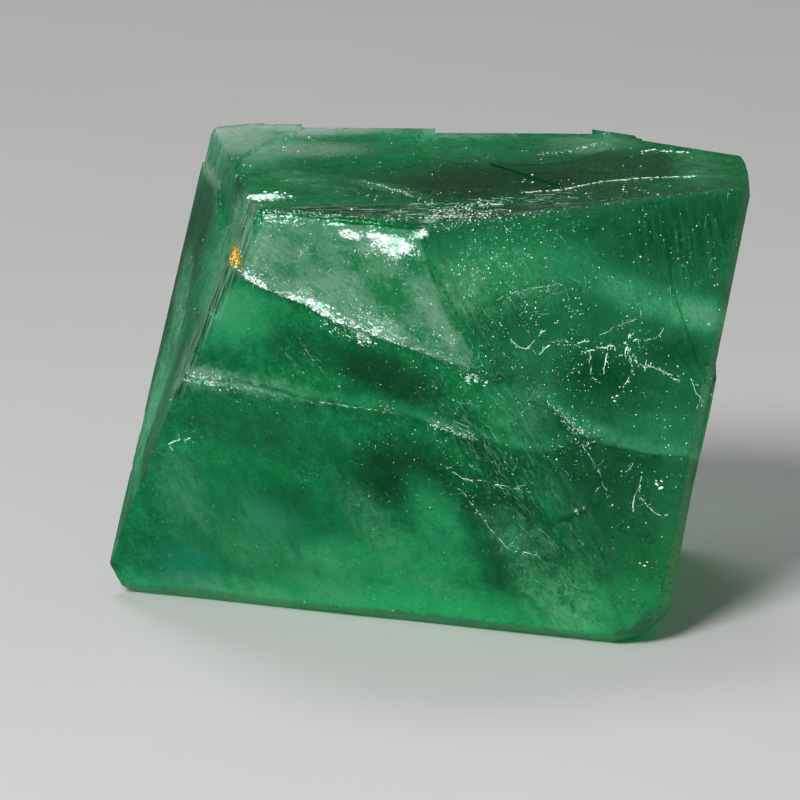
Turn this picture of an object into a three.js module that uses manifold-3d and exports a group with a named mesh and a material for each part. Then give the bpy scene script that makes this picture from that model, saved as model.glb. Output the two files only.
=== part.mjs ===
// A loose fluorite crystal: one cleavage fragment of an octahedral crystal, resting on a cleavage face.
// Eight natural faces and one break at the back close the solid. Worn edges, stepped bevels, cleavage
// ledges and shell-shaped chips are cut into it.
import * as THREE from 'three';
import { ConvexGeometry } from 'three/addons/geometries/ConvexGeometry.js';
import { TessellateModifier } from 'three/addons/modifiers/TessellateModifier.js';
import { mergeVertices } from 'three/addons/utils/BufferGeometryUtils.js';
import Module from 'manifold-3d';

const wasm = await Module();
wasm.setup();

// ---------------------------------------------------------------- driving dimensions (mm, degrees)

const HEIGHT = 27.3;
// Each side face: the azimuth its outward normal points to (counter-clockwise from +X), its lean
// (positive leans back, negative overhangs) and its reach from the axis at half height.
const SIDES = {
  leftFront: { azimuth: 246.5, lean: -16, reach: 10.5 },
  rightFront: { azimuth: 300.5, lean: 10.5, reach: 14.8 },
  right: { azimuth: 359, lean: -12, reach: 16.3 },
  backRight: { azimuth: 50.5, lean: 16.5, reach: 21.1 },
  back: { azimuth: 88, lean: 0, reach: 15.6 },
  backLeft: { azimuth: 125, lean: -14.5, reach: 16.1 },
  left: { azimuth: 187.5, lean: 17, reach: 16.1 },
};
const EDGE_RADIUS = 0.45;
const WORN_CORNERS = [
  { faces: ['leftFront', 'right', 'bottom'], radius: 3.4 },
  { faces: ['rightFront', 'right', 'bottom'], radius: 3.0 },
  { faces: ['leftFront', 'backLeft', 'bottom'], radius: 1.3 },
  { faces: ['leftFront', 'left', 'backLeft'], radius: 0.9 },
  { faces: ['rightFront', 'right', 'top'], radius: 1.4 },
  { faces: ['right', 'backRight', 'top'], radius: 1.6 },
  { faces: ['left', 'backLeft', 'top'], radius: 1.1 },
  { faces: ['backLeft', 'back', 'top'], radius: 1.0 },
];
const SURFACE_STEP = 2.3;      // longest triangle side on the uncut faces
const WAVE_HEIGHT = 0.07;      // gentle swell of the faces
const WAVE_LENGTH = 9;
const FLAT_BELOW = 0.9;        // the swell fades out below this height, so the base stays flat
const CUT_CLEARANCE = 2.5;     // how far a cutter stands outside the face it cuts
const SMALLEST_DETAIL = 0.015;
const MERGE_DISTANCE = 1e-3;
const CRUMB_RADIUS = 0.3;

// ---------------------------------------------------------------- repeatable chance

function chance(seed) {
  let state = seed;
  return (low, high) => {
    state = (Math.imul(state, 1664525) + 1013904223) >>> 0;
    return low + (high - low) * (state / 4294967296);
  };
}

// ---------------------------------------------------------------- faces as planes

function sidePlane({ azimuth, lean, reach }) {
  const turn = THREE.MathUtils.degToRad(azimuth);
  const tilt = THREE.MathUtils.degToRad(lean);
  const normal = new THREE.Vector3(
    Math.cos(tilt) * Math.cos(turn), Math.cos(tilt) * Math.sin(turn), Math.sin(tilt));
  return { normal, offset: reach + normal.z * HEIGHT / 2 };
}

const PLANES = {
  top: { normal: new THREE.Vector3(0, 0, 1), offset: HEIGHT },
  bottom: { normal: new THREE.Vector3(0, 0, -1), offset: 0 },
};
for (const [name, side] of Object.entries(SIDES)) PLANES[name] = sidePlane(side);

function meetingPoint(a, b, c) {
  const matrix = new THREE.Matrix3().set(
    ...a.normal.toArray(), ...b.normal.toArray(), ...c.normal.toArray());
  if (Math.abs(matrix.determinant()) < 1e-5) return null;
  return new THREE.Vector3(a.offset, b.offset, c.offset).applyMatrix3(matrix.invert());
}

// Corners of the convex solid that lies behind every plane of a list.
function cornersBehind(planes) {
  const corners = [];
  for (let i = 0; i < planes.length; i++) {
    for (let j = i + 1; j < planes.length; j++) {
      for (let k = j + 1; k < planes.length; k++) {
        const point = meetingPoint(planes[i], planes[j], planes[k]);
        const inside = point && planes.every((p) => p.normal.dot(point) < p.offset + 1e-4);
        if (inside && !corners.some((c) => c.distanceTo(point) < 1e-3)) corners.push(point);
      }
    }
  }
  return corners;
}

// A plane that touches a ball nested inside the given faces, seen along a blend of their normals.
function blendPlane(faces, weights, radius) {
  const normal = new THREE.Vector3();
  faces.forEach((face, i) => normal.addScaledVector(face.normal, weights[i]));
  normal.normalize();
  const inset = faces.map((face) => ({ normal: face.normal, offset: face.offset - radius }));
  const third = inset[2] ?? {
    normal: new THREE.Vector3().crossVectors(faces[0].normal, faces[1].normal).normalize(),
    offset: 0,
  };
  const centre = meetingPoint(inset[0], inset[1], third);
  return { normal, offset: normal.dot(centre) + radius };
}

function wornPlanes() {
  const sharp = Object.values(PLANES);
  const corners = cornersBehind(sharp);
  const onFace = (face) => corners.filter((c) => Math.abs(face.normal.dot(c) - face.offset) < 1e-3);
  const worn = [...sharp];
  for (let i = 0; i < sharp.length; i++) {
    for (let j = i + 1; j < sharp.length; j++) {
      const shared = onFace(sharp[i]).filter((c) => onFace(sharp[j]).includes(c));
      if (shared.length > 1) worn.push(blendPlane([sharp[i], sharp[j]], [1, 1], EDGE_RADIUS));
    }
  }
  const blends = [[1, 1, 1], [2, 1, 1], [1, 2, 1], [1, 1, 2], [1, 1, 0], [0, 1, 1], [1, 0, 1]];
  for (const { faces, radius } of WORN_CORNERS) {
    const around = faces.map((name) => PLANES[name]);
    for (const weights of blends) worn.push(blendPlane(around, weights, radius));
  }
  return worn;
}

// ---------------------------------------------------------------- solids

function toSolid(geometry) {
  const bare = geometry.clone();
  bare.deleteAttribute('normal');
  bare.deleteAttribute('uv');
  const merged = mergeVertices(bare, 1e-4);
  return new wasm.Manifold(new wasm.Mesh({
    numProp: 3,
    vertProperties: merged.attributes.position.array,
    triVerts: Uint32Array.from(merged.index.array),
  }));
}

function toGeometry(solid) {
  const mesh = solid.getMesh();
  const geometry = new THREE.BufferGeometry();
  geometry.setAttribute('position', new THREE.BufferAttribute(mesh.vertProperties, 3));
  geometry.setIndex(new THREE.BufferAttribute(mesh.triVerts, 1));
  return geometry;
}

function swell(point) {
  const k = 2 * Math.PI / WAVE_LENGTH;
  const fade = THREE.MathUtils.smoothstep(point.z, 0, FLAT_BELOW);
  const wave = (a, b, shift) => Math.sin(k * a + shift) * Math.sin(0.7 * k * b + 2 * shift);
  return new THREE.Vector3(
    wave(point.y, point.z, 0.4), wave(point.z, point.x, 1.3), wave(point.x, point.y, 2.1),
  ).multiplyScalar(WAVE_HEIGHT * fade);
}

function roughBlock() {
  const hull = new ConvexGeometry(cornersBehind(wornPlanes()));
  const fine = new TessellateModifier(SURFACE_STEP, 12).modify(hull);
  const position = fine.attributes.position;
  const point = new THREE.Vector3();
  for (let i = 0; i < position.count; i++) {
    point.fromBufferAttribute(position, i);
    point.add(swell(point));
    position.setXYZ(i, point.x, point.y, point.z);
  }
  return toSolid(fine);
}

// ---------------------------------------------------------------- cutters

// Frame of a face: X to the right as seen from outside, Y up the face, Z outwards.
function faceFrame(name) {
  const { normal, offset } = PLANES[name];
  const level = Math.abs(normal.z) > 0.99;
  const along = level ? new THREE.Vector3(1, 0, 0)
    : new THREE.Vector3(0, 0, 1).cross(normal).normalize();
  const up = new THREE.Vector3().crossVectors(normal, along);
  const centre = level ? new THREE.Vector3() : new THREE.Vector3(0, 0, HEIGHT / 2);
  const origin = centre.addScaledVector(normal, offset - normal.dot(centre));
  return new THREE.Matrix4().makeBasis(along, up, normal).setPosition(origin);
}

// Adds small random corners to a line, as a break through brittle stone has.
function ragged(points, jitter, draw) {
  const line = [points[0]];
  for (let i = 1; i < points.length; i++) {
    const [ax, ay] = points[i - 1];
    const [bx, by] = points[i];
    for (const share of [0.35, 0.7]) {
      const x = ax + (bx - ax) * share + draw(-jitter, jitter);
      const y = ay + (by - ay) * share + draw(-jitter, jitter);
      line.push([x, y]);
    }
    line.push([bx, by]);
  }
  return line;
}

// A flat-floored recess of the given depth, cut square into a face inside an outline.
function recess(face, outline, depth) {
  const shape = new THREE.Shape(outline.map(([x, y]) => new THREE.Vector2(x, y)));
  const body = new THREE.ExtrudeGeometry(shape, { depth: depth + CUT_CLEARANCE, bevelEnabled: false });
  body.translate(0, 0, -depth);
  return toSolid(body.applyMatrix4(faceFrame(face)));
}

// A cleavage step: everything on one side of a broken line across a face lies lower by its depth.
function cleavageStep({ face, line, depth, jitter, lower }, draw) {
  const broken = ragged(line, jitter, draw);
  const [dx, dy] = lower;
  const last = broken[broken.length - 1];
  const far = [[last[0] + dx, last[1] + dy], [broken[0][0] + dx, broken[0][1] + dy]];
  return recess(face, [...broken, ...far], depth);
}

// A shallow curved step left by a shell-shaped break, seen as part of a circle.
function shellStep({ face, centre, radius, squash, depth }, draw) {
  const outline = [];
  const corners = 22;
  for (let i = 0; i < corners; i++) {
    const angle = i / corners * 2 * Math.PI;
    const reach = radius * draw(0.95, 1.05);
    outline.push([centre[0] + reach * Math.cos(angle), centre[1] + reach * squash * Math.sin(angle)]);
  }
  return recess(face, outline, depth);
}

// The two ends of the sharp edge between two faces, the lower or left one first.
function edgeEnds(first, second) {
  const both = [PLANES[first], PLANES[second]];
  const ends = SHARP_CORNERS.filter((c) => both.every((p) => Math.abs(p.normal.dot(c) - p.offset) < 1e-3));
  const level = Math.abs(ends[0].z - ends[1].z) < 0.1;
  return ends.sort((a, b) => (level ? a.x - b.x : a.z - b.z));
}

// A flight of small steps along part of the edge between two faces, as wide on each face as given.
function edgeSteps({ edge, widths, count, from, to }) {
  const [first, second] = edge.map((name) => PLANES[name]);
  const [low, high] = edgeEnds(...edge);
  const run = new THREE.Vector3().subVectors(high, low).normalize();
  const inward = [first, second].map((plane, i) => {
    const into = new THREE.Vector3().crossVectors(plane.normal, run);
    const other = i === 0 ? second : first;
    return into.dot(other.normal) > 0 ? into.negate() : into;
  });
  const place = (a, b) => new THREE.Vector3()
    .addScaledVector(inward[0], a * widths[0]).addScaledVector(inward[1], b * widths[1]);
  const profile = [];
  for (let i = 0; i < count; i++) {
    profile.push(place(1 - i / count, i / count));
    profile.push(place(1 - i / count, (i + 1) / count));
  }
  profile.push(place(0, 1));
  profile.push(place(0, 1).addScaledVector(second.normal, CUT_CLEARANCE));
  profile.push(place(1, 0).addScaledVector(first.normal, CUT_CLEARANCE));
  const across = inward[0];
  const side = new THREE.Vector3().crossVectors(run, across);
  const shape = new THREE.Shape(profile.map((p) => new THREE.Vector2(p.dot(across), p.dot(side))));
  const length = low.distanceTo(high) * (to - from);
  const body = new THREE.ExtrudeGeometry(shape, { depth: length, bevelEnabled: false });
  const start = low.clone().lerp(high, from);
  return toSolid(body.applyMatrix4(new THREE.Matrix4().makeBasis(across, side, run).setPosition(start)));
}

// A shell-shaped chip out of an edge: a stretched ball that bites into it at a share of its length.
function edgeChip({ edge, share, length, bite }) {
  const [low, high] = edgeEnds(...edge);
  const run = new THREE.Vector3().subVectors(high, low).normalize();
  const outward = new THREE.Vector3().addVectors(PLANES[edge[0]].normal, PLANES[edge[1]].normal);
  outward.normalize();
  const side = new THREE.Vector3().crossVectors(outward, run);
  const girth = CHIP_GIRTH * length;
  const ball = new THREE.SphereGeometry(1, 12, 8).scale(length / 2, girth, girth);
  const centre = low.clone().lerp(high, share).addScaledVector(outward, girth - bite);
  return toSolid(ball.applyMatrix4(new THREE.Matrix4().makeBasis(run, outward, side).setPosition(centre)));
}

// A shallow pit: a flat-sided pyramid sunk into a face, as acid and knocks leave in this stone.
function pit({ face, at, width, depth, turn }) {
  const sides = 3;
  const cone = new THREE.ConeGeometry(width / 2, 2 * depth, sides).rotateX(-Math.PI / 2);
  cone.rotateZ(THREE.MathUtils.degToRad(turn)).translate(at[0], at[1], 0);
  return toSolid(cone.applyMatrix4(faceFrame(face)));
}

// ---------------------------------------------------------------- what has broken off

const SHARP_CORNERS = cornersBehind(Object.values(PLANES));
const CHIP_GIRTH = 0.42;

// Lines are given in the frame of their face; `lower` points to the side that lies lower.
const STEPS = [
  // the thin slab left on the upper part of the left front face, and its ragged lower end
  { face: 'leftFront', depth: 0.5, jitter: 0.16, lower: [0, -40],
    line: [[-24, 15], [-8.6, 13.1], [-6.1, 11.8], [-3.6, 11], [-0.4, 9.6], [2.8, 8.6], [7.3, 7.5], [22, 2]] },
  { face: 'leftFront', depth: 0.66, jitter: 0.1, lower: [0, -40],
    line: [[-24, 5.2], [-8.5, 4.7], [-3.9, 4], [0.8, 3.8], [4.1, 3.2], [7, 2.5], [22, -1]] },
  { face: 'rightFront', depth: 0.16, jitter: 0.08, lower: [0, -40],
    line: [[-22, 9], [-0.8, -1.2], [1.7, -3.5], [4.2, -4.2], [6.6, -4.8], [20, -6.6]] },
  { face: 'rightFront', depth: 0.12, jitter: 0.1, lower: [30, 4],
    line: [[6.8, 30], [8.6, 5], [10.6, -2], [12.6, -30]] },
  { face: 'top', depth: 0.3, jitter: 0.3, lower: [60, 0],
    line: [[-8, 30], [-8.8, 14], [-10.5, 10.5], [-12.4, 5], [-15, -30]] },
  { face: 'top', depth: 0.42, jitter: 0.2, lower: [9, 4], line: [[-8, 3.5], [-4.3, -2.1], [-1.2, -7.3]] },
  { face: 'top', depth: 0.5, jitter: 0.25, lower: [10, 40],
    line: [[9.5, 30], [12.6, 11.5], [14.6, 5], [19, 0.6], [30, -6]] },
  { face: 'right', depth: 0.3, jitter: 0.25, lower: [40, 0], line: [[-2, -40], [1, -6], [5, 3], [6.5, 40]] },
  { face: 'right', depth: 0.22, jitter: 0.2, lower: [0, 40], line: [[-40, 2], [-5, 5.5], [3, 7], [40, 11]] },
  { face: 'backRight', depth: 0.45, jitter: 0.3, lower: [-40, 0],
    line: [[-3, 40], [-1.5, 4], [-6, -5], [-8, -40]] },
  { face: 'backRight', depth: 0.25, jitter: 0.2, lower: [0, -40],
    line: [[-40, -4], [-2, -1], [6, -2.4], [40, -6]] },
  { face: 'back', depth: 0.4, jitter: 0.35, lower: [0, 40],
    line: [[-40, 1], [-8, 4.5], [0, 3.4], [7, 7], [40, 9]] },
  { face: 'back', depth: 0.3, jitter: 0.3, lower: [40, 0], line: [[-9, -40], [-4, -5], [-6, 5], [-3, 40]] },
  { face: 'backLeft', depth: 0.4, jitter: 0.3, lower: [-40, 0], line: [[3, -40], [1, -5], [4, 5], [2, 40]] },
  { face: 'backLeft', depth: 0.25, jitter: 0.2, lower: [0, 40], line: [[-40, 6], [-4, 3], [5, 5], [40, 1]] },
  { face: 'left', depth: 0.35, jitter: 0.25, lower: [0, 40],
    line: [[-40, 6], [-7, 7.5], [0, 5.6], [8, 8.6], [40, 8]] },
  { face: 'left', depth: 0.2, jitter: 0.2, lower: [-40, 0], line: [[-4, -40], [-3, -2], [-5, 6], [-6, 40]] },
];
const SHELL_STEPS = [
  { face: 'top', centre: [4.6, 10.6], radius: 6.2, squash: 1.15, depth: 0.58 },
  { face: 'back', centre: [7, -9], radius: 7, squash: 0.8, depth: 0.6 },
  { face: 'backLeft', centre: [-6, -7], radius: 5.5, squash: 0.9, depth: 0.5 },
  { face: 'right', centre: [9, -9], radius: 5, squash: 0.9, depth: 0.45 },
];
const STEPPED_EDGES = [
  { edge: ['top', 'leftFront'], widths: [2.6, 0.45], count: 5, from: -0.1, to: 0.47 },
  { edge: ['top', 'leftFront'], widths: [2.0, 0.6], count: 4, from: 0.45, to: 1.05 },
  { edge: ['left', 'leftFront'], widths: [0.9, 1.2], count: 4, from: 0.71, to: 1.1 },
  { edge: ['left', 'leftFront'], widths: [0.6, 0.5], count: 2, from: 0.3, to: 0.73 },
  { edge: ['leftFront', 'rightFront'], widths: [0.7, 0.5], count: 2, from: 0.61, to: 1.05 },
  { edge: ['leftFront', 'rightFront'], widths: [2.2, 1.1], count: 4, from: 0.29, to: 0.63 },
  { edge: ['leftFront', 'rightFront'], widths: [3.4, 1.4], count: 5, from: -0.1, to: 0.31 },
  { edge: ['rightFront', 'right'], widths: [0.5, 0.8], count: 2, from: 0.35, to: 0.7 },
  { edge: ['backLeft', 'back'], widths: [1.3, 1.0], count: 3, from: 0.2, to: 0.75 },
  { edge: ['right', 'backRight'], widths: [1.0, 1.4], count: 3, from: 0.3, to: 1.05 },
];
// Chips strung along the edges: [first face, second face, how many, deepest bite].
const CHIPPED_EDGES = [
  ['top', 'back', 9, 0.55], ['top', 'backRight', 7, 0.5], ['top', 'right', 5, 0.35],
  ['top', 'left', 9, 0.5], ['top', 'leftFront', 7, 0.35], ['top', 'rightFront', 8, 0.25],
  ['left', 'leftFront', 7, 0.35], ['left', 'backLeft', 9, 0.5], ['rightFront', 'right', 9, 0.25],
  ['leftFront', 'bottom', 8, 0.4], ['right', 'bottom', 8, 0.6], ['backLeft', 'bottom', 8, 0.6],
  ['back', 'bottom', 6, 0.5], ['right', 'back', 7, 0.6], ['back', 'backRight', 5, 0.5],
  ['back', 'backLeft', 6, 0.4], ['right', 'backRight', 4, 0.4], ['leftFront', 'rightFront', 8, 0.3],
];

// Pits scattered over part of a face: [face, how many, from x, to x, from y, to y].
const PITTED_AREAS = [
  ['top', 9, -8, 14, -8, 12], ['rightFront', 7, -3, 10, -4, 9], ['leftFront', 4, -6, 6, -8, 6],
  ['right', 5, -8, 10, -6, 10], ['backRight', 4, -6, 5, -8, 9], ['back', 5, -9, 6, -8, 9],
  ['backLeft', 4, -6, 6, -8, 9], ['left', 4, -8, 6, -2, 10],
];

function scatteredPits(draw) {
  const pits = [];
  for (const [face, count, left, right, low, high] of PITTED_AREAS) {
    for (let i = 0; i < count; i++) {
      const at = [draw(left, right), draw(low, high)];
      pits.push(pit({ face, at, width: draw(0.5, 1.3), depth: draw(0.08, 0.25), turn: draw(-20, 20) }));
    }
  }
  return pits;
}

function edgeChips(draw) {
  const chips = [];
  for (const [first, second, count, deepest] of CHIPPED_EDGES) {
    for (let i = 0; i < count; i++) {
      const share = (i + draw(0.2, 0.8)) / count;
      const bite = deepest * draw(0.45, 1);
      chips.push(edgeChip({ edge: [first, second], share, length: draw(1.2, 4), bite }));
    }
  }
  return chips;
}

// ---------------------------------------------------------------- the crystal

function largestPiece(solid) {
  const [largest] = solid.decompose().sort((a, b) => b.volume() - a.volume());
  return largest.simplify(SMALLEST_DETAIL);
}

// Spots along the edges where the surface touches itself: stone too thin to hold together.
function pinchedPoints(solid) {
  const merged = mergeVertices(toGeometry(solid), MERGE_DISTANCE);
  const index = merged.index.array;
  const uses = new Map();
  for (let i = 0; i < index.length; i++) {
    const next = i % 3 === 2 ? index[i - 2] : index[i + 1];
    if (index[i] === next) continue;
    const key = index[i] < next ? `${index[i]} ${next}` : `${next} ${index[i]}`;
    uses.set(key, (uses.get(key) ?? 0) + 1);
  }
  const points = [];
  for (const [key, count] of uses) {
    if (count === 2) continue;
    const [a, b] = key.split(' ').map((i) => (
      new THREE.Vector3().fromBufferAttribute(merged.attributes.position, Number(i))));
    for (const point of [a, b, a.clone().lerp(b, 0.5)]) {
      if (points.every((other) => other.distanceTo(point) > CRUMB_RADIUS)) points.push(point);
    }
  }
  return points;
}

// Knocks a crumb out wherever the surface is pinched, until nothing is.
function crumble(solid) {
  let stone = largestPiece(solid);
  for (let round = 0; round < 25; round++) {
    const points = pinchedPoints(stone);
    if (points.length === 0) return stone;
    const crumbs = points.map((point) => {
      const crumb = new THREE.IcosahedronGeometry(CRUMB_RADIUS).rotateX(1 + round);
      return toSolid(crumb.translate(...point.toArray()));
    });
    stone = largestPiece(stone.subtract(wasm.Manifold.union(crumbs)));
  }
  throw new Error('the surface still touches itself');
}

function buildCrystal() {
  const draw = chance(14);
  const cutters = [
    ...STEPS.map((step) => cleavageStep(step, draw)),
    ...SHELL_STEPS.map((step) => shellStep(step, draw)),
    ...STEPPED_EDGES.map(edgeSteps),
    ...edgeChips(draw),
    ...scatteredPits(draw),
  ];
  const broken = roughBlock().subtract(wasm.Manifold.union(cutters));
  const geometry = toGeometry(crumble(broken));
  geometry.computeBoundingBox();
  const box = geometry.boundingBox;
  geometry.translate(-(box.min.x + box.max.x) / 2, -(box.min.y + box.max.y) / 2, -box.min.z);
  return geometry;
}

const fluorite = new THREE.MeshStandardMaterial({ color: 0x1f7a4d, roughness: 0.25, metalness: 0 });
const crystal = new THREE.Mesh(buildCrystal(), fluorite);
crystal.name = 'fluorite_crystal';

const group = new THREE.Group();
group.add(crystal);

export default group;
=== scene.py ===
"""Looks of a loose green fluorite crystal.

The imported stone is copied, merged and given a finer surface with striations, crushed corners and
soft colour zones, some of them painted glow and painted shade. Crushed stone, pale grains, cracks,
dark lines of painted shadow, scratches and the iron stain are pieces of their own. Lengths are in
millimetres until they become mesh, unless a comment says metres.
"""
import math
import random
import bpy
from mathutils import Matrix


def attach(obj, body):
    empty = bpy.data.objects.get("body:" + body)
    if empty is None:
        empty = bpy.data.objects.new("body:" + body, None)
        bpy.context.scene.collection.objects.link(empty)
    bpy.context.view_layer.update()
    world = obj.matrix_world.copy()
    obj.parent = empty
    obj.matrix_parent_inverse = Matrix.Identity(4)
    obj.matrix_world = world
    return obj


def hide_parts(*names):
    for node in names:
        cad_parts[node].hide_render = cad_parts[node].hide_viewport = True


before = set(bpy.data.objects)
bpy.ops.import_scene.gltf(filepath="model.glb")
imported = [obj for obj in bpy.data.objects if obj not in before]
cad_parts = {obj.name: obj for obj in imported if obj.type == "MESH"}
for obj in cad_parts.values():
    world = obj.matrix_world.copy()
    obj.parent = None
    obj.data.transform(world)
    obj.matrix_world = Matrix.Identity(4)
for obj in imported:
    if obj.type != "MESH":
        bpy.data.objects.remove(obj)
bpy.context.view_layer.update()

from types import SimpleNamespace

import bmesh
import bpy
import numpy as np
from mathutils import Matrix, Vector, noise
from mathutils.bvhtree import BVHTree

MM = 0.001
NODE = "fluorite_crystal"

# ------------------------------------------------------------ the stone's faces (mm, degrees)

HEIGHT = 27.3
AXIS = Vector((0.6956, -0.2460, 0.0))    # foot of the upright line that the sides' reaches start from
# azimuth of the outward normal, lean back, reach from the axis at half height
SIDES = {
    "leftFront": (246.5, -16.0, 10.5),
    "rightFront": (300.5, 10.5, 14.8),
    "right": (359.0, -12.0, 16.3),
    "backRight": (50.5, 16.5, 21.1),
    "back": (88.0, 0.0, 15.6),
    "backLeft": (125.0, -14.5, 16.1),
    "left": (187.5, 17.0, 16.1),
}
HIDDEN_SIDES = ("right", "backRight", "back", "backLeft", "left")


def side_face(azimuth, lean, reach):
    """A side's frame: x to the right and y up the face, seen from outside, z outward."""
    turn, tilt = math.radians(azimuth), math.radians(lean)
    out = Vector((math.cos(tilt) * math.cos(turn), math.cos(tilt) * math.sin(turn), math.sin(tilt)))
    along = Vector((0, 0, 1)).cross(out).normalized()
    face = Matrix((along, out.cross(along), out)).transposed().to_4x4()
    face.translation = AXIS + Vector((0, 0, HEIGHT / 2)) + out * reach
    return face


FACES = {name: side_face(*side) for name, side in SIDES.items()}
FACES["top"] = Matrix.Translation(AXIS + Vector((0, 0, HEIGHT)))
OUTWARD = {name: face.col[2].to_3d() for name, face in FACES.items()}


def ramp(value, low, high):
    """0 below low, 1 above high, smooth in between."""
    share = np.clip((value - low) / (high - low), 0, 1)
    return share * share * (3 - 2 * share)


# ------------------------------------------------------------ soft zones and marks on the faces

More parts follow.
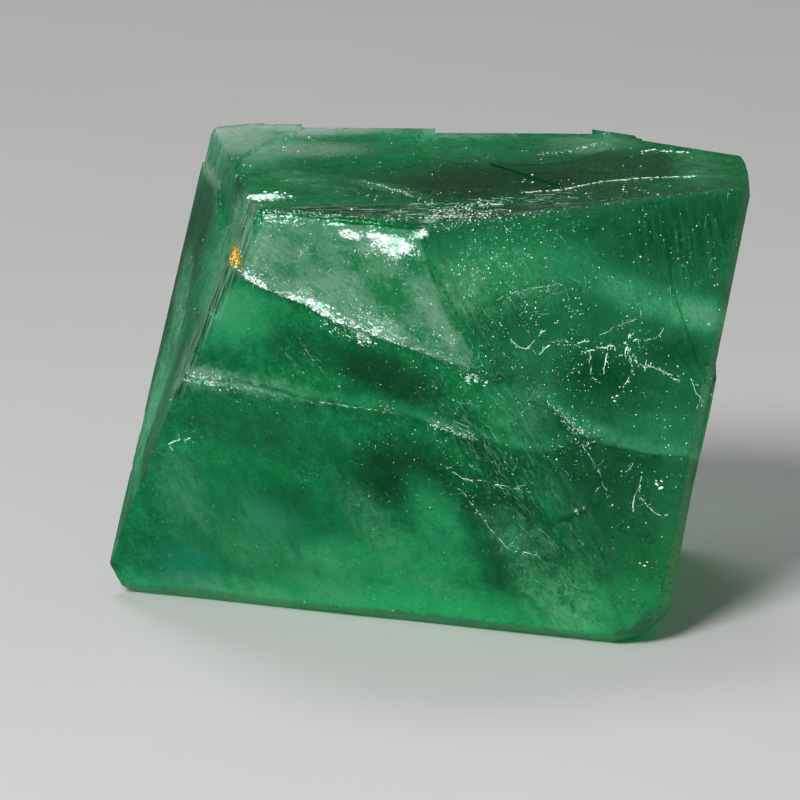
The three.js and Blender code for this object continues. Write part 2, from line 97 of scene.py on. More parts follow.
# Zones: face, centre x and y, half length and half width, turn in degrees, strength.
ZONES = {
    # Lighter zones: partly paler stone, partly painted glow of light coming through the stone.
    "glow": [
        ("leftFront", -9.0, 9.6, 3.2, 2.3, 10, 1.2),
        ("leftFront", 0.5, -10.2, 9.5, 2.0, 0, 1.0),
        ("leftFront", 1.6, -7.2, 4.6, 2.4, 15, 0.75),
        ("leftFront", 3.6, -4.2, 1.7, 3.4, 20, 0.7),
        ("leftFront", -3.0, -7.4, 3.0, 1.8, 0, 0.8),
        ("leftFront", -9.0, -10.4, 5.0, 1.2, 0, 0.6),
        ("leftFront", -7.0, 2.0, 5.0, 2.2, 0, 0.15),
        ("rightFront", -3.8, 8.2, 4.6, 1.6, -8, 0.6),
        ("rightFront", 1.6, 7.4, 3.6, 1.3, -28, 0.6),
        ("rightFront", 5.4, 5.3, 3.4, 1.1, -25, 0.8),
        ("rightFront", 9.8, 3.7, 3.6, 1.2, -18, 1.0),
        ("rightFront", 7.5, -3.4, 4.0, 1.2, -10, 0.6),
        ("rightFront", 4.0, -14.0, 3.5, 2.0, 0, 0.6),
        ("rightFront", -4.5, -1.5, 1.8, 2.6, -20, 0.35),
        ("rightFront", -1.6, 2.4, 2.0, 1.6, 0, 0.3),
        ("rightFront", 7.5, -8.5, 1.6, 5.0, -6, 0.35),
    ],
    # Darker zones: partly the stone's own deeper green, partly painted shade, such as the painted dark
    # reflection on the top face.
    "deep_and_painted_shade": [
        ("leftFront", 1.2, 6.2, 5.0, 2.0, -20, 1.0),
        ("leftFront", -3.0, 7.4, 2.4, 1.4, -24, 0.55),
        ("leftFront", 1.6, -0.8, 4.6, 3.0, 0, 1.0),
        ("leftFront", 7.0, -2.4, 2.4, 2.4, 0, 0.85),
        ("leftFront", 8.6, 0.2, 2.4, 3.4, 20, 0.8),
        ("leftFront", -8.5, 1.5, 5.0, 1.8, -4, 0.75),
        ("leftFront", -5.0, 7.4, 2.2, 1.3, -24, 0.45),
        ("leftFront", 9.6, -4.2, 1.2, 3.2, 22, 0.7),
        ("rightFront", -4.0, -5.2, 2.2, 4.4, 24, 0.8),
        ("leftFront", 6.9, -6.4, 1.3, 2.6, 20, 0.8),
        ("leftFront", -5.0, 0.8, 5.5, 1.8, -6, 0.5),
        ("leftFront", -6.8, -3.8, 1.8, 1.6, 30, 0.55),
        ("leftFront", 4.6, 13.0, 1.5, 1.6, 0, 0.4),
        ("rightFront", 9.5, 8.6, 5.0, 2.3, 0, 0.72),
        ("rightFront", 2.4, 9.6, 4.0, 1.0, 0, 0.3),
        ("rightFront", -3.0, 4.4, 3.8, 1.2, -18, 0.3),
        ("rightFront", 2.9, 0.6, 3.0, 1.6, -8, 0.75),
        ("rightFront", 8.0, 1.4, 2.6, 0.9, -10, 0.6),
        ("rightFront", 1.6, -5.2, 4.0, 1.3, -20, 0.4),
        ("rightFront", 1.2, -8.0, 2.6, 2.2, -40, 0.2),
        ("top", 4.0, -1.5, 10.0, 8.0, 0, 1.0),
        ("top", 11.0, 3.0, 6.0, 7.0, 0, 0.85),
        ("top", 2.0, -9.5, 3.0, 3.0, 0, 0.7),
        ("top", -5.0, 3.0, 4.0, 4.0, 0, 0.5),
        ("left", -9.0, 3.0, 7.0, 9.0, 0, 0.9),
        ("left", 2.0, 10.0, 6.0, 4.0, 0, 0.9),
        ("left", -2.0, -6.0, 5.0, 6.0, 0, 0.4),
    ],
    "milk": [
        ("leftFront", 5.2, 11.2, 0.6, 2.6, 25, 0.8),
        ("leftFront", -6.0, 14.4, 2.4, 1.6, 0, 0.6),
        ("leftFront", -2.0, 11.2, 3.0, 0.7, -22, 0.9),
        ("leftFront", -0.6, 12.0, 2.0, 1.3, -20, 0.9),
        ("leftFront", 1.6, 9.9, 2.4, 0.6, -20, 0.8),
        ("leftFront", -9.3, 10.0, 2.2, 1.3, 10, 0.5),
        ("leftFront", -7.8, 13.2, 1.6, 1.0, -30, 0.9),
        ("leftFront", -3.9, 11.8, 1.6, 0.8, -20, 0.8),
        ("leftFront", -11.0, 4.8, 2.0, 1.0, -3, 1.0),
        ("leftFront", -7.2, 4.5, 3.4, 0.8, -4, 0.9),
        ("leftFront", -9.5, -10.6, 5.5, 1.1, -6, 0.8),
        ("leftFront", -13.6, -4.0, 1.6, 3.4, 8, 0.4),
        ("leftFront", -9.0, -6.5, 3.0, 3.0, -40, 0.3),
        ("leftFront", -0.8, -4.8, 1.4, 3.4, 30, 0.4),
        ("leftFront", -5.0, -8.6, 3.0, 2.0, -30, 0.45),
        ("leftFront", 8.2, -4.6, 1.3, 2.4, 30, 0.4),
        ("leftFront", 9.6, -8.2, 1.5, 3.2, 22, 0.5),
        ("leftFront", 11.6, -9.2, 2.2, 2.6, 22, 0.85),
        ("leftFront", 3.2, -8.4, 2.4, 0.5, -6, 0.4),
        ("leftFront", 10.0, -4.6, 1.0, 2.0, 24, 0.4),
        ("rightFront", 0.8, -13.2, 1.6, 2.4, 20, 0.6),
        ("rightFront", 10.0, 3.5, 2.8, 0.9, -14, 1.0),
        ("rightFront", 6.0, 5.0, 3.0, 0.9, -24, 0.5),
        ("rightFront", -6.2, 7.2, 2.0, 2.0, 0, 0.55),
        ("rightFront", -3.4, 7.0, 3.6, 2.2, -10, 0.35),
        ("rightFront", -2.2, -1.0, 1.6, 2.2, -30, 0.3),
        ("top", -12.0, 9.5, 3.2, 6.5, 12, 0.6),
        ("top", 0.0, 14.5, 5.0, 1.8, 0, 0.4),
        ("top", -8.6, -1.0, 1.4, 4.5, 30, 0.35),
        ("top", -3.4, -3.0, 3.4, 0.9, -50, 0.5),
        ("top", 9.6, 10.8, 3.0, 3.2, 20, 0.35),
        ("top", 16.0, 2.5, 1.5, 6.0, 0, 0.4),
        ("left", 4.0, 4.5, 4.0, 5.0, 0, 0.4),
        ("backLeft", 4.0, -2.0, 5.0, 8.0, 10, 0.5),
        ("back", -3.0, 4.0, 6.0, 4.0, 12, 0.45),
        ("backRight", 2.0, -3.0, 4.0, 7.0, -15, 0.45),
        ("right", -3.0, 3.0, 4.0, 6.0, 20, 0.4),
    ],
    "blue": [
        ("leftFront", -14.0, -8.8, 2.2, 1.6, 0, 0.8),
        ("leftFront", -7.6, -5.0, 2.2, 1.6, 0, 0.5),
        ("backLeft", 2.0, -9.0, 5.0, 2.5, 0, 0.7),
        ("right", 4.0, -8.0, 5.0, 2.5, 0, 0.5),
    ],
    "crush": [
        ("leftFront", 3.4, 15.6, 1.0, 0.5, -14, 1.5),
        ("leftFront", 2.1, 15.9, 0.8, 0.4, -10, 1.2),
        ("leftFront", 2.4, 15.3, 1.7, 0.8, 10, 0.8),
        ("leftFront", 3.1, 14.9, 0.5, 0.4, -30, 1.0),
        ("leftFront", 4.8, 16.3, 0.6, 0.25, 0, 1.0),
        ("leftFront", 0.4, 16.0, 0.8, 0.35, 0, 0.9),
        ("leftFront", -6.7, 12.2, 1.0, 0.5, -35, 0.8),
        ("leftFront", -2.9, 10.9, 1.4, 0.6, -20, 0.9),
        ("leftFront", -10.9, 4.6, 1.1, 0.25, -4, 0.6),
        ("top", -10.9, -6.4, 1.2, 1.1, 20, 1.0),
        ("top", -12.9, -3.0, 0.7, 2.4, 10, 0.5),
    ],
    "haze": [
        ("top", -13.0, 10.5, 3.0, 5.5, 12, 1.0),
        ("top", -9.4, 15.4, 6.0, 2.4, 0, 1.0),
        ("top", -8.7, 8.4, 4.0, 2.4, 0, 0.7),
        ("top", -8.4, 14.0, 2.0, 2.0, 0, 0.6),
        ("leftFront", -11.0, 4.9, 1.6, 0.5, -3, 0.75),
        ("leftFront", -8.4, 4.6, 1.6, 0.35, -4, 0.45),
        ("rightFront", 10.4, 3.4, 1.6, 0.5, -10, 0.25),
        ("rightFront", -6.2, 6.6, 1.6, 1.6, 0, 0.15),
        ("top", 0.5, 16.0, 4.0, 1.4, 0, 0.4),
        ("top", 9.6, 11.2, 2.4, 3.0, 20, 0.25),
        ("leftFront", -8.4, 14.2, 1.2, 1.6, 0, 0.4),
    ],
    "calm": [
        ("leftFront", -9.0, -6.0, 8.0, 6.0, 0, 1.0),
        ("leftFront", 0.0, -11.0, 9.0, 3.0, 0, 0.7),
        ("top", 4.0, 6.0, 14.0, 9.0, 0, 0.6),
    ],
    "ragged": [
        ("top", -6.5, -10.9, 6.5, 2.2, 4, 1.0),
        ("top", 1.0, -11.6, 5.0, 1.6, 14, 0.8),
        ("top", 6.0, -9.0, 4.0, 1.4, 20, 0.5),
    ],
    "dim": [
        ("leftFront", 2.5, 12.2, 1.5, 1.4, 0, 0.75),
        ("leftFront", 4.2, 13.9, 1.0, 0.8, 20, 0.7),
        ("leftFront", 0.6, 14.2, 1.6, 0.9, 20, 0.5),
        ("leftFront", -4.0, 13.0, 1.4, 0.8, 0, 0.4),
        ("leftFront", 4.2, 9.6, 1.4, 0.7, -30, 0.5),
    ],
    "stain": [("leftFront", -7.9, 13.3, 0.55, 0.8, 20, 1.0)],
}
# Zones on each hidden side: kind, how many, smallest and largest half length, greatest strength.
HIDDEN_MARKS = [("deep_and_painted_shade", 5, 3.0, 7.0, 0.75), ("milk", 5, 2.0, 5.5, 1.1), ("glow", 3, 2.0, 5.0, 0.6),
                ("crush", 3, 0.6, 1.4, 1.1)]
HIDDEN_REACH = (9, 11)         # how far their centres lie from a side's middle, across and up
HIDDEN_WIDTHS = (0.25, 0.6)    # half width as a share of half length
HIDDEN_TURN = 80               # degrees to either side
HIDDEN_STRENGTHS = (0.5, 1)    # shares of the greatest strength
# The milky slab left on the left front face, as a closed outline.
SLAB = [(-8.9, 12.9), (-8.2, 15.2), (-7.2, 17.4), (4.6, 16.9), (5.4, 13.6), (6.1, 10.9), (7.5, 8.8),
        (7.2, 7.0), (4.8, 7.4), (2.5, 7.9), (-0.7, 9.0), (-3.8, 10.4), (-6.2, 11.3)]
# Marked bands: face, traced line, reach, strength. The darker and the worn ones run down the ridge between
# the two front faces, the crushed ones along the broken edge of the slab and the milky ones along ledges.
BANDS = {
    "deep_and_painted_shade": [
        ("leftFront", [(6.2, 3.0), (7.8, 0.6), (9.4, -2.4), (10.6, -5.2)], 2.4, 0.9),
        ("rightFront", [(-5.6, 0.0), (-4.0, -3.4), (-2.4, -7.0), (-1.0, -10.0)], 2.0, 0.75),
    ],
    "ridge": [
        ("leftFront", [(5.4, 5.0), (7.4, 1.6), (9.3, -1.6), (10.8, -4.8), (12.2, -8.0), (13.0, -10.6)],
         2.7, 0.45),
        ("leftFront", [(10.4, -7.0), (11.4, -10.0)], 2.4, 0.8),
        ("rightFront", [(-6.8, 4.5), (-4.4, 0.5), (-2.2, -4.0), (0.3, -9.0), (1.6, -13.0)], 2.0, 0.42),
        ("rightFront", [(-6.5, 7.5), (-5.0, 5.5)], 2.6, 0.35),
    ],
    "crush": [
        ("leftFront", [(-7.2, 12.5), (-5.9, 11.7)], 0.6, 0.85),
        ("leftFront", [(-4.0, 11.3), (-2.4, 11.0)], 0.6, 0.85),
        ("leftFront", [(-2.4, 10.6), (-1.4, 9.9), (0.2, 9.1)], 0.8, 0.6),
        ("leftFront", [(1.6, 9.3), (4.0, 8.4), (7.0, 7.3)], 0.7, 0.42),
        ("leftFront", [(4.0, 3.2), (6.6, 2.5)], 0.6, 0.5),
    ],
    "milk": [
        ("leftFront", [(-12.8, 4.8), (-10.0, 4.8), (-6.8, 4.5)], 1.1, 1.0),
        ("rightFront", [(1.4, -2.6), (4.8, -4.0), (6.5, -4.4), (12.0, -5.6)], 0.8, 0.5),
    ],
}
# The striated edge between the left and the left front face, as a traced line.
LEFT_EDGE = [(-6.9, 17.2), (-8.1, 13.1), (-9.6, 11.0), (-10.8, 9.0), (-12.3, 6.4), (-13.6, 3.8)]
# Where the right front face meets the ridge: its heights and the x there.
RIDGE_EDGE = ((-13.5, 10.1), (1.9, -9.3))
# Faintly scored zones: face, x, y, half length, half width, turn, strength.
SCORED = [
    ("rightFront", 10.0, 7.6, 4.5, 3.6, 0, 0.3),
    ("leftFront", -11.0, -2.0, 2.0, 4.0, 0, 0.15),
]
# Cleavage ledges: face, traced line, reach and strength of the painted light above, then of the painted
# shade below.
LEDGES = [
    ("leftFront", [(-13.5, 4.3), (-8, 4.3), (-5.7, 3.9), (1.0, 3.6), (4.0, 3.1), (6.8, 2.4), (9.0, 1.8)],
     1.3, 0.45, 2.6, 0.45),
    ("rightFront", [(-1.3, -0.5), (-0.3, -1.4), (0.7, -2.4), (1.7, -3.0), (4.8, -4.3), (6.5, -4.7),
                    (12, -5.9)], 1.5, 0.9, 2.4, 0.5),
]

# Where masks fade, each as the two values between which `ramp` climbs.
FACING = (0.5, 0.8)            # cosine of the angle between a surface and a face that it belongs to
OFF_PLANE = (1.6, 3.0)         # distance from a face's plane
ZONE_EDGE = (0.35, 1.45)       # share of a zone's half size
BAND_CORE = 0.15               # share of a band's reach that it marks in full
SLAB_EDGE = (-0.3, 0.25)       # distance inside the slab's outline
SLAB_LEVEL = (-0.42, -0.2)     # level of the stone under the slab and of the slab, from the face's plane
SLAB_STEPS = -6.4              # left of this x the slab reaches down over the stepped edge
# Painted light above a ledge and painted shade below it fade over these distances.
LIT_EDGE, LIT_FULL = (-0.1, 0.05), 0.2     # above a ledge: its start, and where the light begins to fade
DARK_EDGE, DARK_FULL = (0, 0.15), 0.3      # the same below a ledge
LEDGE_START = 1                # how far before and after its first point a ledge fades in
VEIL_EDGE = (-0.3, 1.5)        # distance past the ridge, over the right front face
# Painted glow and painted milkiness along the foot of the front faces, which fade with height.
FOOT_GLOW, FOOT_MILKY_GLOW = (0.4, 2.2), (0.3, 0.9)      # height above the base
VEILED_GLOW = 0.4              # share of the foot's glow that the veil takes
FOOT_GLOW_MILKINESS = 0.5           # the foot's milk at its strongest
FRONTWARD = 0.2                # surfaces whose outward y is below this face the front
FROST_EDGE = (-0.6, -0.2)      # outward y
LEVEL_TOP = (0.75, 0.95)       # outward z
LEFTWARD = (0.6, 0.9)          # outward share to the left
STEPPED_REACH = (0.4, 1.3)     # distance from the striated edge


def mark_hidden_sides():
    """Gives the sides turned away the same kinds of zones, by a fixed throw of the dice."""
    dice = random.Random(73)
    across, up = HIDDEN_REACH
    for name in HIDDEN_SIDES:
        for kind, count, smallest, largest, strongest in HIDDEN_MARKS:
            for _ in range(count):
                half = dice.uniform(smallest, largest)
                ZONES[kind].append((
                    name, dice.uniform(-across, across), dice.uniform(-up, up),
                    half, half * dice.uniform(*HIDDEN_WIDTHS), dice.uniform(-HIDDEN_TURN, HIDDEN_TURN),
                    strongest * dice.uniform(*HIDDEN_STRENGTHS)))


def on_face(points, name):
    """Points (N x 3, mm) in a face's frame."""
    inverse = np.array(FACES[name].inverted())
    return points @ inverse[:3, :3].T + inverse[:3, 3]


def near_face(local):
    return 1 - ramp(np.abs(local[:, 2]), *OFF_PLANE)


def zone_share(points, normals, zones):
    """How strongly each point lies in any of the zones."""
    total = np.zeros(len(points))
    for face, x, y, half_long, half_wide, turn, strength in zones:
        local = on_face(points, face)
        across, up = local[:, 0] - x, local[:, 1] - y
        c, s = math.cos(math.radians(turn)), math.sin(math.radians(turn))
        reach = np.hypot((across * c + up * s) / half_long, (up * c - across * s) / half_wide)
        share = strength * (1 - ramp(reach, *ZONE_EDGE)) * near_face(local)
        if face in HIDDEN_SIDES:
            share = share * ramp(normals @ np.array(OUTWARD[face]), *FACING)
        total = np.maximum(total, share)
    return total


def line_distance(flat, line):
    """Distance of points (N x 2) from a traced line."""
    nearest = np.full(len(flat), 1e9)
    for start, end in zip(line, line[1:]):
        a, b = np.array(start), np.array(end)
        share = np.clip((flat - a) @ (b - a) / ((b - a) @ (b - a)), 0, 1)
        nearest = np.minimum(nearest, np.hypot(*(flat - a - share[:, None] * (b - a)).T))
    return nearest


def inside_outline(flat, outline):
    """True for points (N x 2) inside a closed outline."""
    inside = np.zeros(len(flat), bool)
    for (ax, ay), (bx, by) in zip(outline, outline[1:] + outline[:1]):
        spans = (ay > flat[:, 1]) != (by > flat[:, 1])
        rise = by - ay if by != ay else 1e-9
        inside ^= spans & (flat[:, 0] < (bx - ax) * (flat[:, 1] - ay) / rise + ax)
    return inside


def slab_share(points):
    """1 on the milky slab, 0 beside it and on the lower stone along it."""
    local = on_face(points, "leftFront")
    flat = local[:, :2]
    edge = line_distance(flat, SLAB + SLAB[:1])
    on_slab = np.maximum(ramp(local[:, 2], *SLAB_LEVEL), local[:, 0] < SLAB_STEPS)
    return np.where(inside_outline(flat, SLAB), ramp(edge, *SLAB_EDGE), 0) * on_slab * near_face(local)


def band_share(points, bands):
    """How strongly each point lies along any of the marked bands, 0 to 1."""
    total = np.zeros(len(points))
    for face, line, reach, strength in bands:
        local = on_face(points, face)
        near = 1 - ramp(line_distance(local[:, :2], line), reach * BAND_CORE, reach)
        total = np.maximum(total, strength * near * near_face(local))
    return total


def ledge_shares(points):
    """How much painted light lies on the stone above its ledges and how much painted shade below them."""
    lit, dark = np.zeros(len(points)), np.zeros(len(points))
    for face, line, reach_up, lit_most, reach_down, dark_most in LEDGES:
        local = on_face(points, face)
        xs, ys = zip(*line)
        rise = local[:, 1] - np.interp(local[:, 0], xs, ys)
        here = near_face(local) * ramp(local[:, 0], xs[0] - LEDGE_START, xs[0] + LEDGE_START)
        above = lit_most * here * ramp(rise, *LIT_EDGE) * (1 - ramp(rise, LIT_FULL, reach_up))
        below = dark_most * here * ramp(-rise, *DARK_EDGE) * (1 - ramp(-rise, DARK_FULL, reach_down))
        lit, dark = np.maximum(lit, above), np.maximum(dark, below)
    return lit, dark


def surface_masks(points, normals):
    """For every point of the surface, how strongly each kind of zone and band shows there."""
    masks = {name: zone_share(points, normals, zones) for name, zones in ZONES.items()}
    masks["slab"] = slab_share(points)
    masks["scored"] = zone_share(points, normals, SCORED)
    # Painted light above the ledges joins the lighter zones, painted shade below them the darker zones.
    lit, dark = ledge_shares(points)
    masks["glow"] = np.maximum(masks["glow"], lit)
    masks["deep_and_painted_shade"] = np.maximum(masks["deep_and_painted_shade"], dark) * (1 - lit)

    local = on_face(points, "rightFront")
    past_ridge = local[:, 0] - np.interp(local[:, 1], *RIDGE_EDGE)
    masks["veil"] = ramp(past_ridge, *VEIL_EDGE) * near_face(local)
    # Painted glow along the foot of the front faces, where light comes through the thin stone, and painted
    # milkiness that brightens it more.
    in_front, height = normals[:, 1] < FRONTWARD, points[:, 2]
    foot_glow = (1 - ramp(height, *FOOT_GLOW)) * in_front
    masks["glow"] = np.maximum(masks["glow"], foot_glow * (1 - VEILED_GLOW * masks["veil"]))
    foot_milky_glow = FOOT_GLOW_MILKINESS * (1 - ramp(height, *FOOT_MILKY_GLOW)) * in_front
    masks["milk"] = np.maximum(masks["milk"], foot_milky_glow)
    for name, bands in BANDS.items():
        masks[name] = np.maximum(masks.get(name, 0), band_share(points, bands))

    shown = [normals @ np.array(OUTWARD[name]) for name in ("leftFront", "rightFront", "top")]
    masks["frost"] = (1 - ramp(np.max(shown, axis=0), *FACING)) * ramp(normals[:, 1], *FROST_EDGE)
    masks["ragged"] *= ramp(normals[:, 2], *LEVEL_TOP)
    masks["haze"] *= 1 - ramp(-normals[:, 0], *LEFTWARD)
    local = on_face(points, "leftFront")
    stepped = line_distance(local[:, :2], LEFT_EDGE)
    masks["edge"] = (1 - ramp(stepped, *STEPPED_REACH)) * near_face(local)
    return masks


# ------------------------------------------------------------ the stone's finer surface

FINE_SIDES = [("leftFront", 0.38), ("rightFront", 0.40), ("top", 0.60)]   # longest edge, mm
FINEST = 0.38
COARSE = 1.2
SAME_FACE = 0.75               # cosine of the angle at which an edge still belongs to a face
REFINE_ROUNDS = 7
MERGE = 2e-6                   # metres
FLAT_ANGLE = 0.02              # radians
SHARP_ANGLE = math.radians(24)

RIDGE_TURN = -64
# The relief: height in mm and waves per mm. The striations are grain along a direction of a face: the
# face, mm per wave along and across, and the direction.
SWELL, RIPPLE, RUBBLE = (0.012, 0.9), (0.006, 2.7), (0.09, 2.6)
RIDGE_RELIEF, RIDGE_GRAIN = 0.075, ("leftFront", 3.2, 0.34, RIDGE_TURN)
RAGGED_RELIEF, RAGGED_GRAIN = 0.06, ("top", 4.0, 0.5, 4)
FAINTEST = 0.02                # masks weaker than this leave the surface as it is


def too_long(edge):
    length = edge.calc_length() / MM
    if length < FINEST or length > COARSE:
        return length > COARSE
    out = edge.link_faces[0].normal
    return any(length > fine and out.dot(OUTWARD[name]) > SAME_FACE for name, fine in FINE_SIDES)


def refined_stone(node):
    """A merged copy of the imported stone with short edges, so that its surface can carry relief."""
    bm = bmesh.new()
    bm.from_mesh(node.data)
    bmesh.ops.remove_doubles(bm, verts=bm.verts, dist=MERGE)
    bmesh.ops.dissolve_degenerate(bm, edges=bm.edges, dist=MERGE)
    for _ in range(REFINE_ROUNDS):
        bm.normal_update()
        long_edges = [e for e in bm.edges if too_long(e)]
        if not long_edges:
            break
        bmesh.ops.subdivide_edges(bm, edges=long_edges, cuts=1)
        bmesh.ops.triangulate(bm, faces=[f for f in bm.faces if len(f.verts) > 3])
    flat = [e for e in bm.edges if e.is_manifold and e.calc_face_angle() < FLAT_ANGLE]
    bmesh.ops.beautify_fill(bm, faces=bm.faces, edges=flat, method="AREA")
    bm.normal_update()
    return bm


def waves(place, relief):
    height, per_mm = relief
    return height * noise.noise(place * per_mm)


def stretched_noise(point, matrix, seed):
    return noise.noise(matrix @ point + Vector((seed, seed * 1.7, -seed)))


def face_grain(name, along, across, turn):
    """A matrix that stretches noise along a direction of a face: one wave per `along` and `across` mm."""
    spin = Matrix.Rotation(math.radians(-turn), 4, "Z")
    return Matrix.Diagonal((1 / along, 1 / across, 1 / across, 1)) @ spin @ FACES[name].inverted()


def carve_relief(bm, masks):
    """Moves the surface in and out: ripples everywhere, striations, and rubble where it is crushed."""
    ridge_grain, ragged_grain = face_grain(*RIDGE_GRAIN), face_grain(*RAGGED_GRAIN)
    places = [v.co / MM for v in bm.verts]
    normals = [v.normal.copy() for v in bm.verts]
    for i, (place, normal) in enumerate(zip(places, normals)):
        height = waves(place, SWELL) + waves(place, RIPPLE)
        ridge, crush, ragged = masks["ridge"][i], masks["crush"][i], masks["ragged"][i]
        if ridge > FAINTEST:
            height += RIDGE_RELIEF * ridge * stretched_noise(place, ridge_grain, 3)
        if ragged > FAINTEST:
            height += RAGGED_RELIEF * ragged * stretched_noise(place, ragged_grain, 5)
        if crush > FAINTEST:
            height += crush * waves(place, RUBBLE)
        bm.verts[i].co = (place + normal * height) * MM


def vertex_arrays(bm):
    """The places (mm) and normals of a bmesh's points."""
    bm.verts.ensure_lookup_table()
    points = np.array([v.co for v in bm.verts]) / MM
    return points, np.array([v.normal for v in bm.verts])


def add_piece(name, mesh, material):
    piece = bpy.data.objects.new(name, mesh)
    bpy.context.scene.collection.objects.link(piece)
    mesh.materials.clear()
    mesh.materials.append(material)
    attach(piece, "root")
    return piece


def finish_mesh(bm, name):
    mesh = bpy.data.meshes.new(name)
    bm.to_mesh(mesh)
    bm.free()
    return mesh


def build_stone(material):
    """Makes the crystal's own piece and returns a search tree of its surface."""
    bm = refined_stone(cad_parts[NODE])
    masks = surface_masks(*vertex_arrays(bm))
    carve_relief(bm, masks)
    bm.normal_update()
    surface = BVHTree.FromBMesh(bm)
    mesh = finish_mesh(bm, "crystal_body")
    mesh.polygons.foreach_set("use_smooth", [True] * len(mesh.polygons))
    mesh.set_sharp_from_angle(angle=SHARP_ANGLE)
    for name, values in masks.items():
        mesh.attributes.new(name, "FLOAT", "POINT").data.foreach_set("value", values.astype(np.float32))
    stone = add_piece("crystal_body", mesh, material)
    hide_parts(NODE)
    return surface


# ------------------------------------------------------------ shader helpers

def add(tree, kind, links=None, **settings):
    """A node of a kind, its settings, and its inputs by name or number: a socket is linked, a value set."""
    made = tree.nodes.new(kind)
    for name, value in settings.items():
        setattr(made, name, value)
    for socket, value in (links or {}).items():
        if isinstance(value, bpy.types.NodeSocket):
            tree.links.new(value, made.inputs[socket])
        else:
            made.inputs[socket].default_value = value
    return made


def mixed(tree, share, first, second):
    node = add(tree, "ShaderNodeMix", {0: share, 6: first, 7: second}, data_type="RGBA")
    return node.outputs[2]


def maths(tree, operation, first, second, clamp=False):
    node = add(tree, "ShaderNodeMath", {0: first, 1: second}, operation=operation, use_clamp=clamp)
    return node.outputs[0]


def times(tree, first, second):
    return maths(tree, "MULTIPLY", first, second, clamp=True)


def blended(tree, first, first_share, second, second_share):
    """A weighted sum of two values."""
    return maths(tree, "ADD", maths(tree, "MULTIPLY", first, first_share),
                 maths(tree, "MULTIPLY", second, second_share))


def stretched(tree, place, low, high, to_low=0.0, to_high=1.0):
    node = add(tree, "ShaderNodeMapRange", {
        "Value": place, "From Min": low, "From Max": high, "To Min": to_low, "To Max": to_high})
    return node.outputs[0]


def clouds(tree, place, per_mm, detail=4.0, rough=0.55, twist=0.0):
    """Noise with so many waves a millimetre."""
    node = add(tree, "ShaderNodeTexNoise", {
        "Vector": place, "Scale": per_mm / MM, "Detail": detail, "Roughness": rough, "Distortion": twist})
    return node.outputs[0]


def along_face(tree, place, name, along, across, turn):
    """Coordinates that run one wave per `along` and `across` mm of a face, for grain that runs one way."""
    spin = FACES[name].to_3x3() @ Matrix.Rotation(math.radians(turn), 3, "Z")
    return add(tree, "ShaderNodeMapping", {
        "Vector": place, "Rotation": spin.to_euler(), "Scale": (along * MM, across * MM, across * MM)},
        vector_type="TEXTURE").outputs[0]


def streaks(tree, place, name, along, across, turn, low, high, twist=0.0, detail=4.0):
    """Noise drawn out along a direction of a face, 0 below `low` and 1 above `high`."""
    grain = along_face(tree, place, name, along, across, turn)
    node = add(tree, "ShaderNodeTexNoise", {
        "Vector": grain, "Scale": 1.0, "Detail": detail, "Roughness": 0.65, "Distortion": twist})
    return stretched(tree, node.outputs[0], low, high)


def zone(tree, name):
    """One of the masks that the stone's surface carries."""
    return add(tree, "ShaderNodeAttribute", attribute_name=name).outputs["Fac"]


def rgb(red, green, blue):
    return (red, green, blue, 1.0)


def grain_group():
    """Fine dirt and scratches that every surface of the stone shares."""
    group = bpy.data.node_groups.new("stone_grain", "ShaderNodeTree")
    face = group.interface
    face.new_socket("Place", in_out="INPUT", socket_type="NodeSocketVector")
    for name in ("Specks", "Haze", "Height"):
        face.new_socket(name, in_out="OUTPUT", socket_type="NodeSocketFloat")
    source = add(group, "NodeGroupInput").outputs["Place"]
    cells = add(group, "ShaderNodeTexVoronoi", {"Vector": source, "Scale": 2.2 / MM, "Randomness": 1.0})
    specks = stretched(group, cells.outputs["Distance"], 0.16, 0.08)
    patchy = stretched(group, clouds(group, source, 0.35, detail=3), 0.5, 0.62)
    haze = clouds(group, source, 0.8, detail=6, rough=0.62, twist=0.4)
    scratch = streaks(group, source, "leftFront", 1.2, 0.12, RIDGE_TURN, low=0.3, high=0.7)
    fine = clouds(group, source, 9.0, detail=2)
    add(group, "NodeGroupOutput", {
        "Specks": maths(group, "MULTIPLY", specks, patchy), "Haze": haze,
        "Height": blended(group, scratch, 0.6, fine, 0.4)})
    return group


GRAIN = grain_group()


def grained(tree, place):
    node = add(tree, "ShaderNodeGroup", node_tree=GRAIN)
    tree.links.new(place, node.inputs["Place"])
    return node.outputs


def new_material(name):
    material = bpy.data.materials.new(name)
    material.use_nodes = True
    tree = material.node_tree
    return material, tree, tree.nodes["Principled BSDF"]


def roughen(tree, surface, height, strength, depth):
    """Bump of a height in mm."""
    bump = add(tree, "ShaderNodeBump", {"Strength": strength, "Distance": depth * MM, "Height": height})
    tree.links.new(bump.outputs[0], surface.inputs["Normal"])


# ------------------------------------------------------------ finishes

FLUORITE_IOR = 1.434
CLEARNESS = 0.86               # the rest scatters light at the surface
BODY = rgb(0.008, 0.42, 0.15)
LIGHT_BODY = rgb(0.05, 0.50, 0.30)
# The stone's darkest green, which also paints shade in the darker zones, below the ledges and in the
# stepped edge's groove.
DEEP_GREEN_AND_PAINTED_SHADE = rgb(0.0004, 0.022, 0.007)
# Bright green of the light veins, and of the painted glow in the lighter zones.
LIGHT_VEIN_AND_PAINTED_GLOW = rgb(0.10, 1.00, 0.45)
SLAB_GREEN = rgb(0.04, 0.42, 0.19)
MILKY = rgb(0.42, 1.00, 0.68)
CURDLED = rgb(0.72, 1.00, 0.86)
BLUISH = rgb(0.03, 0.50, 0.42)
GREYISH = rgb(0.09, 0.15, 0.16)
# The painted glow where it lies under the greyer right front face.
GREYISH_PAINTED_GLOW = rgb(0.13, 0.66, 0.42)
FROSTED = rgb(0.96, 1.00, 0.98)
RUST = rgb(0.90, 0.50, 0.04)
GLEAM = rgb(0.08, 0.55, 0.35)
VOLUME_COLOUR = rgb(0.22, 0.91, 0.65)
VOLUME_DENSITY = 110.0         # per metre


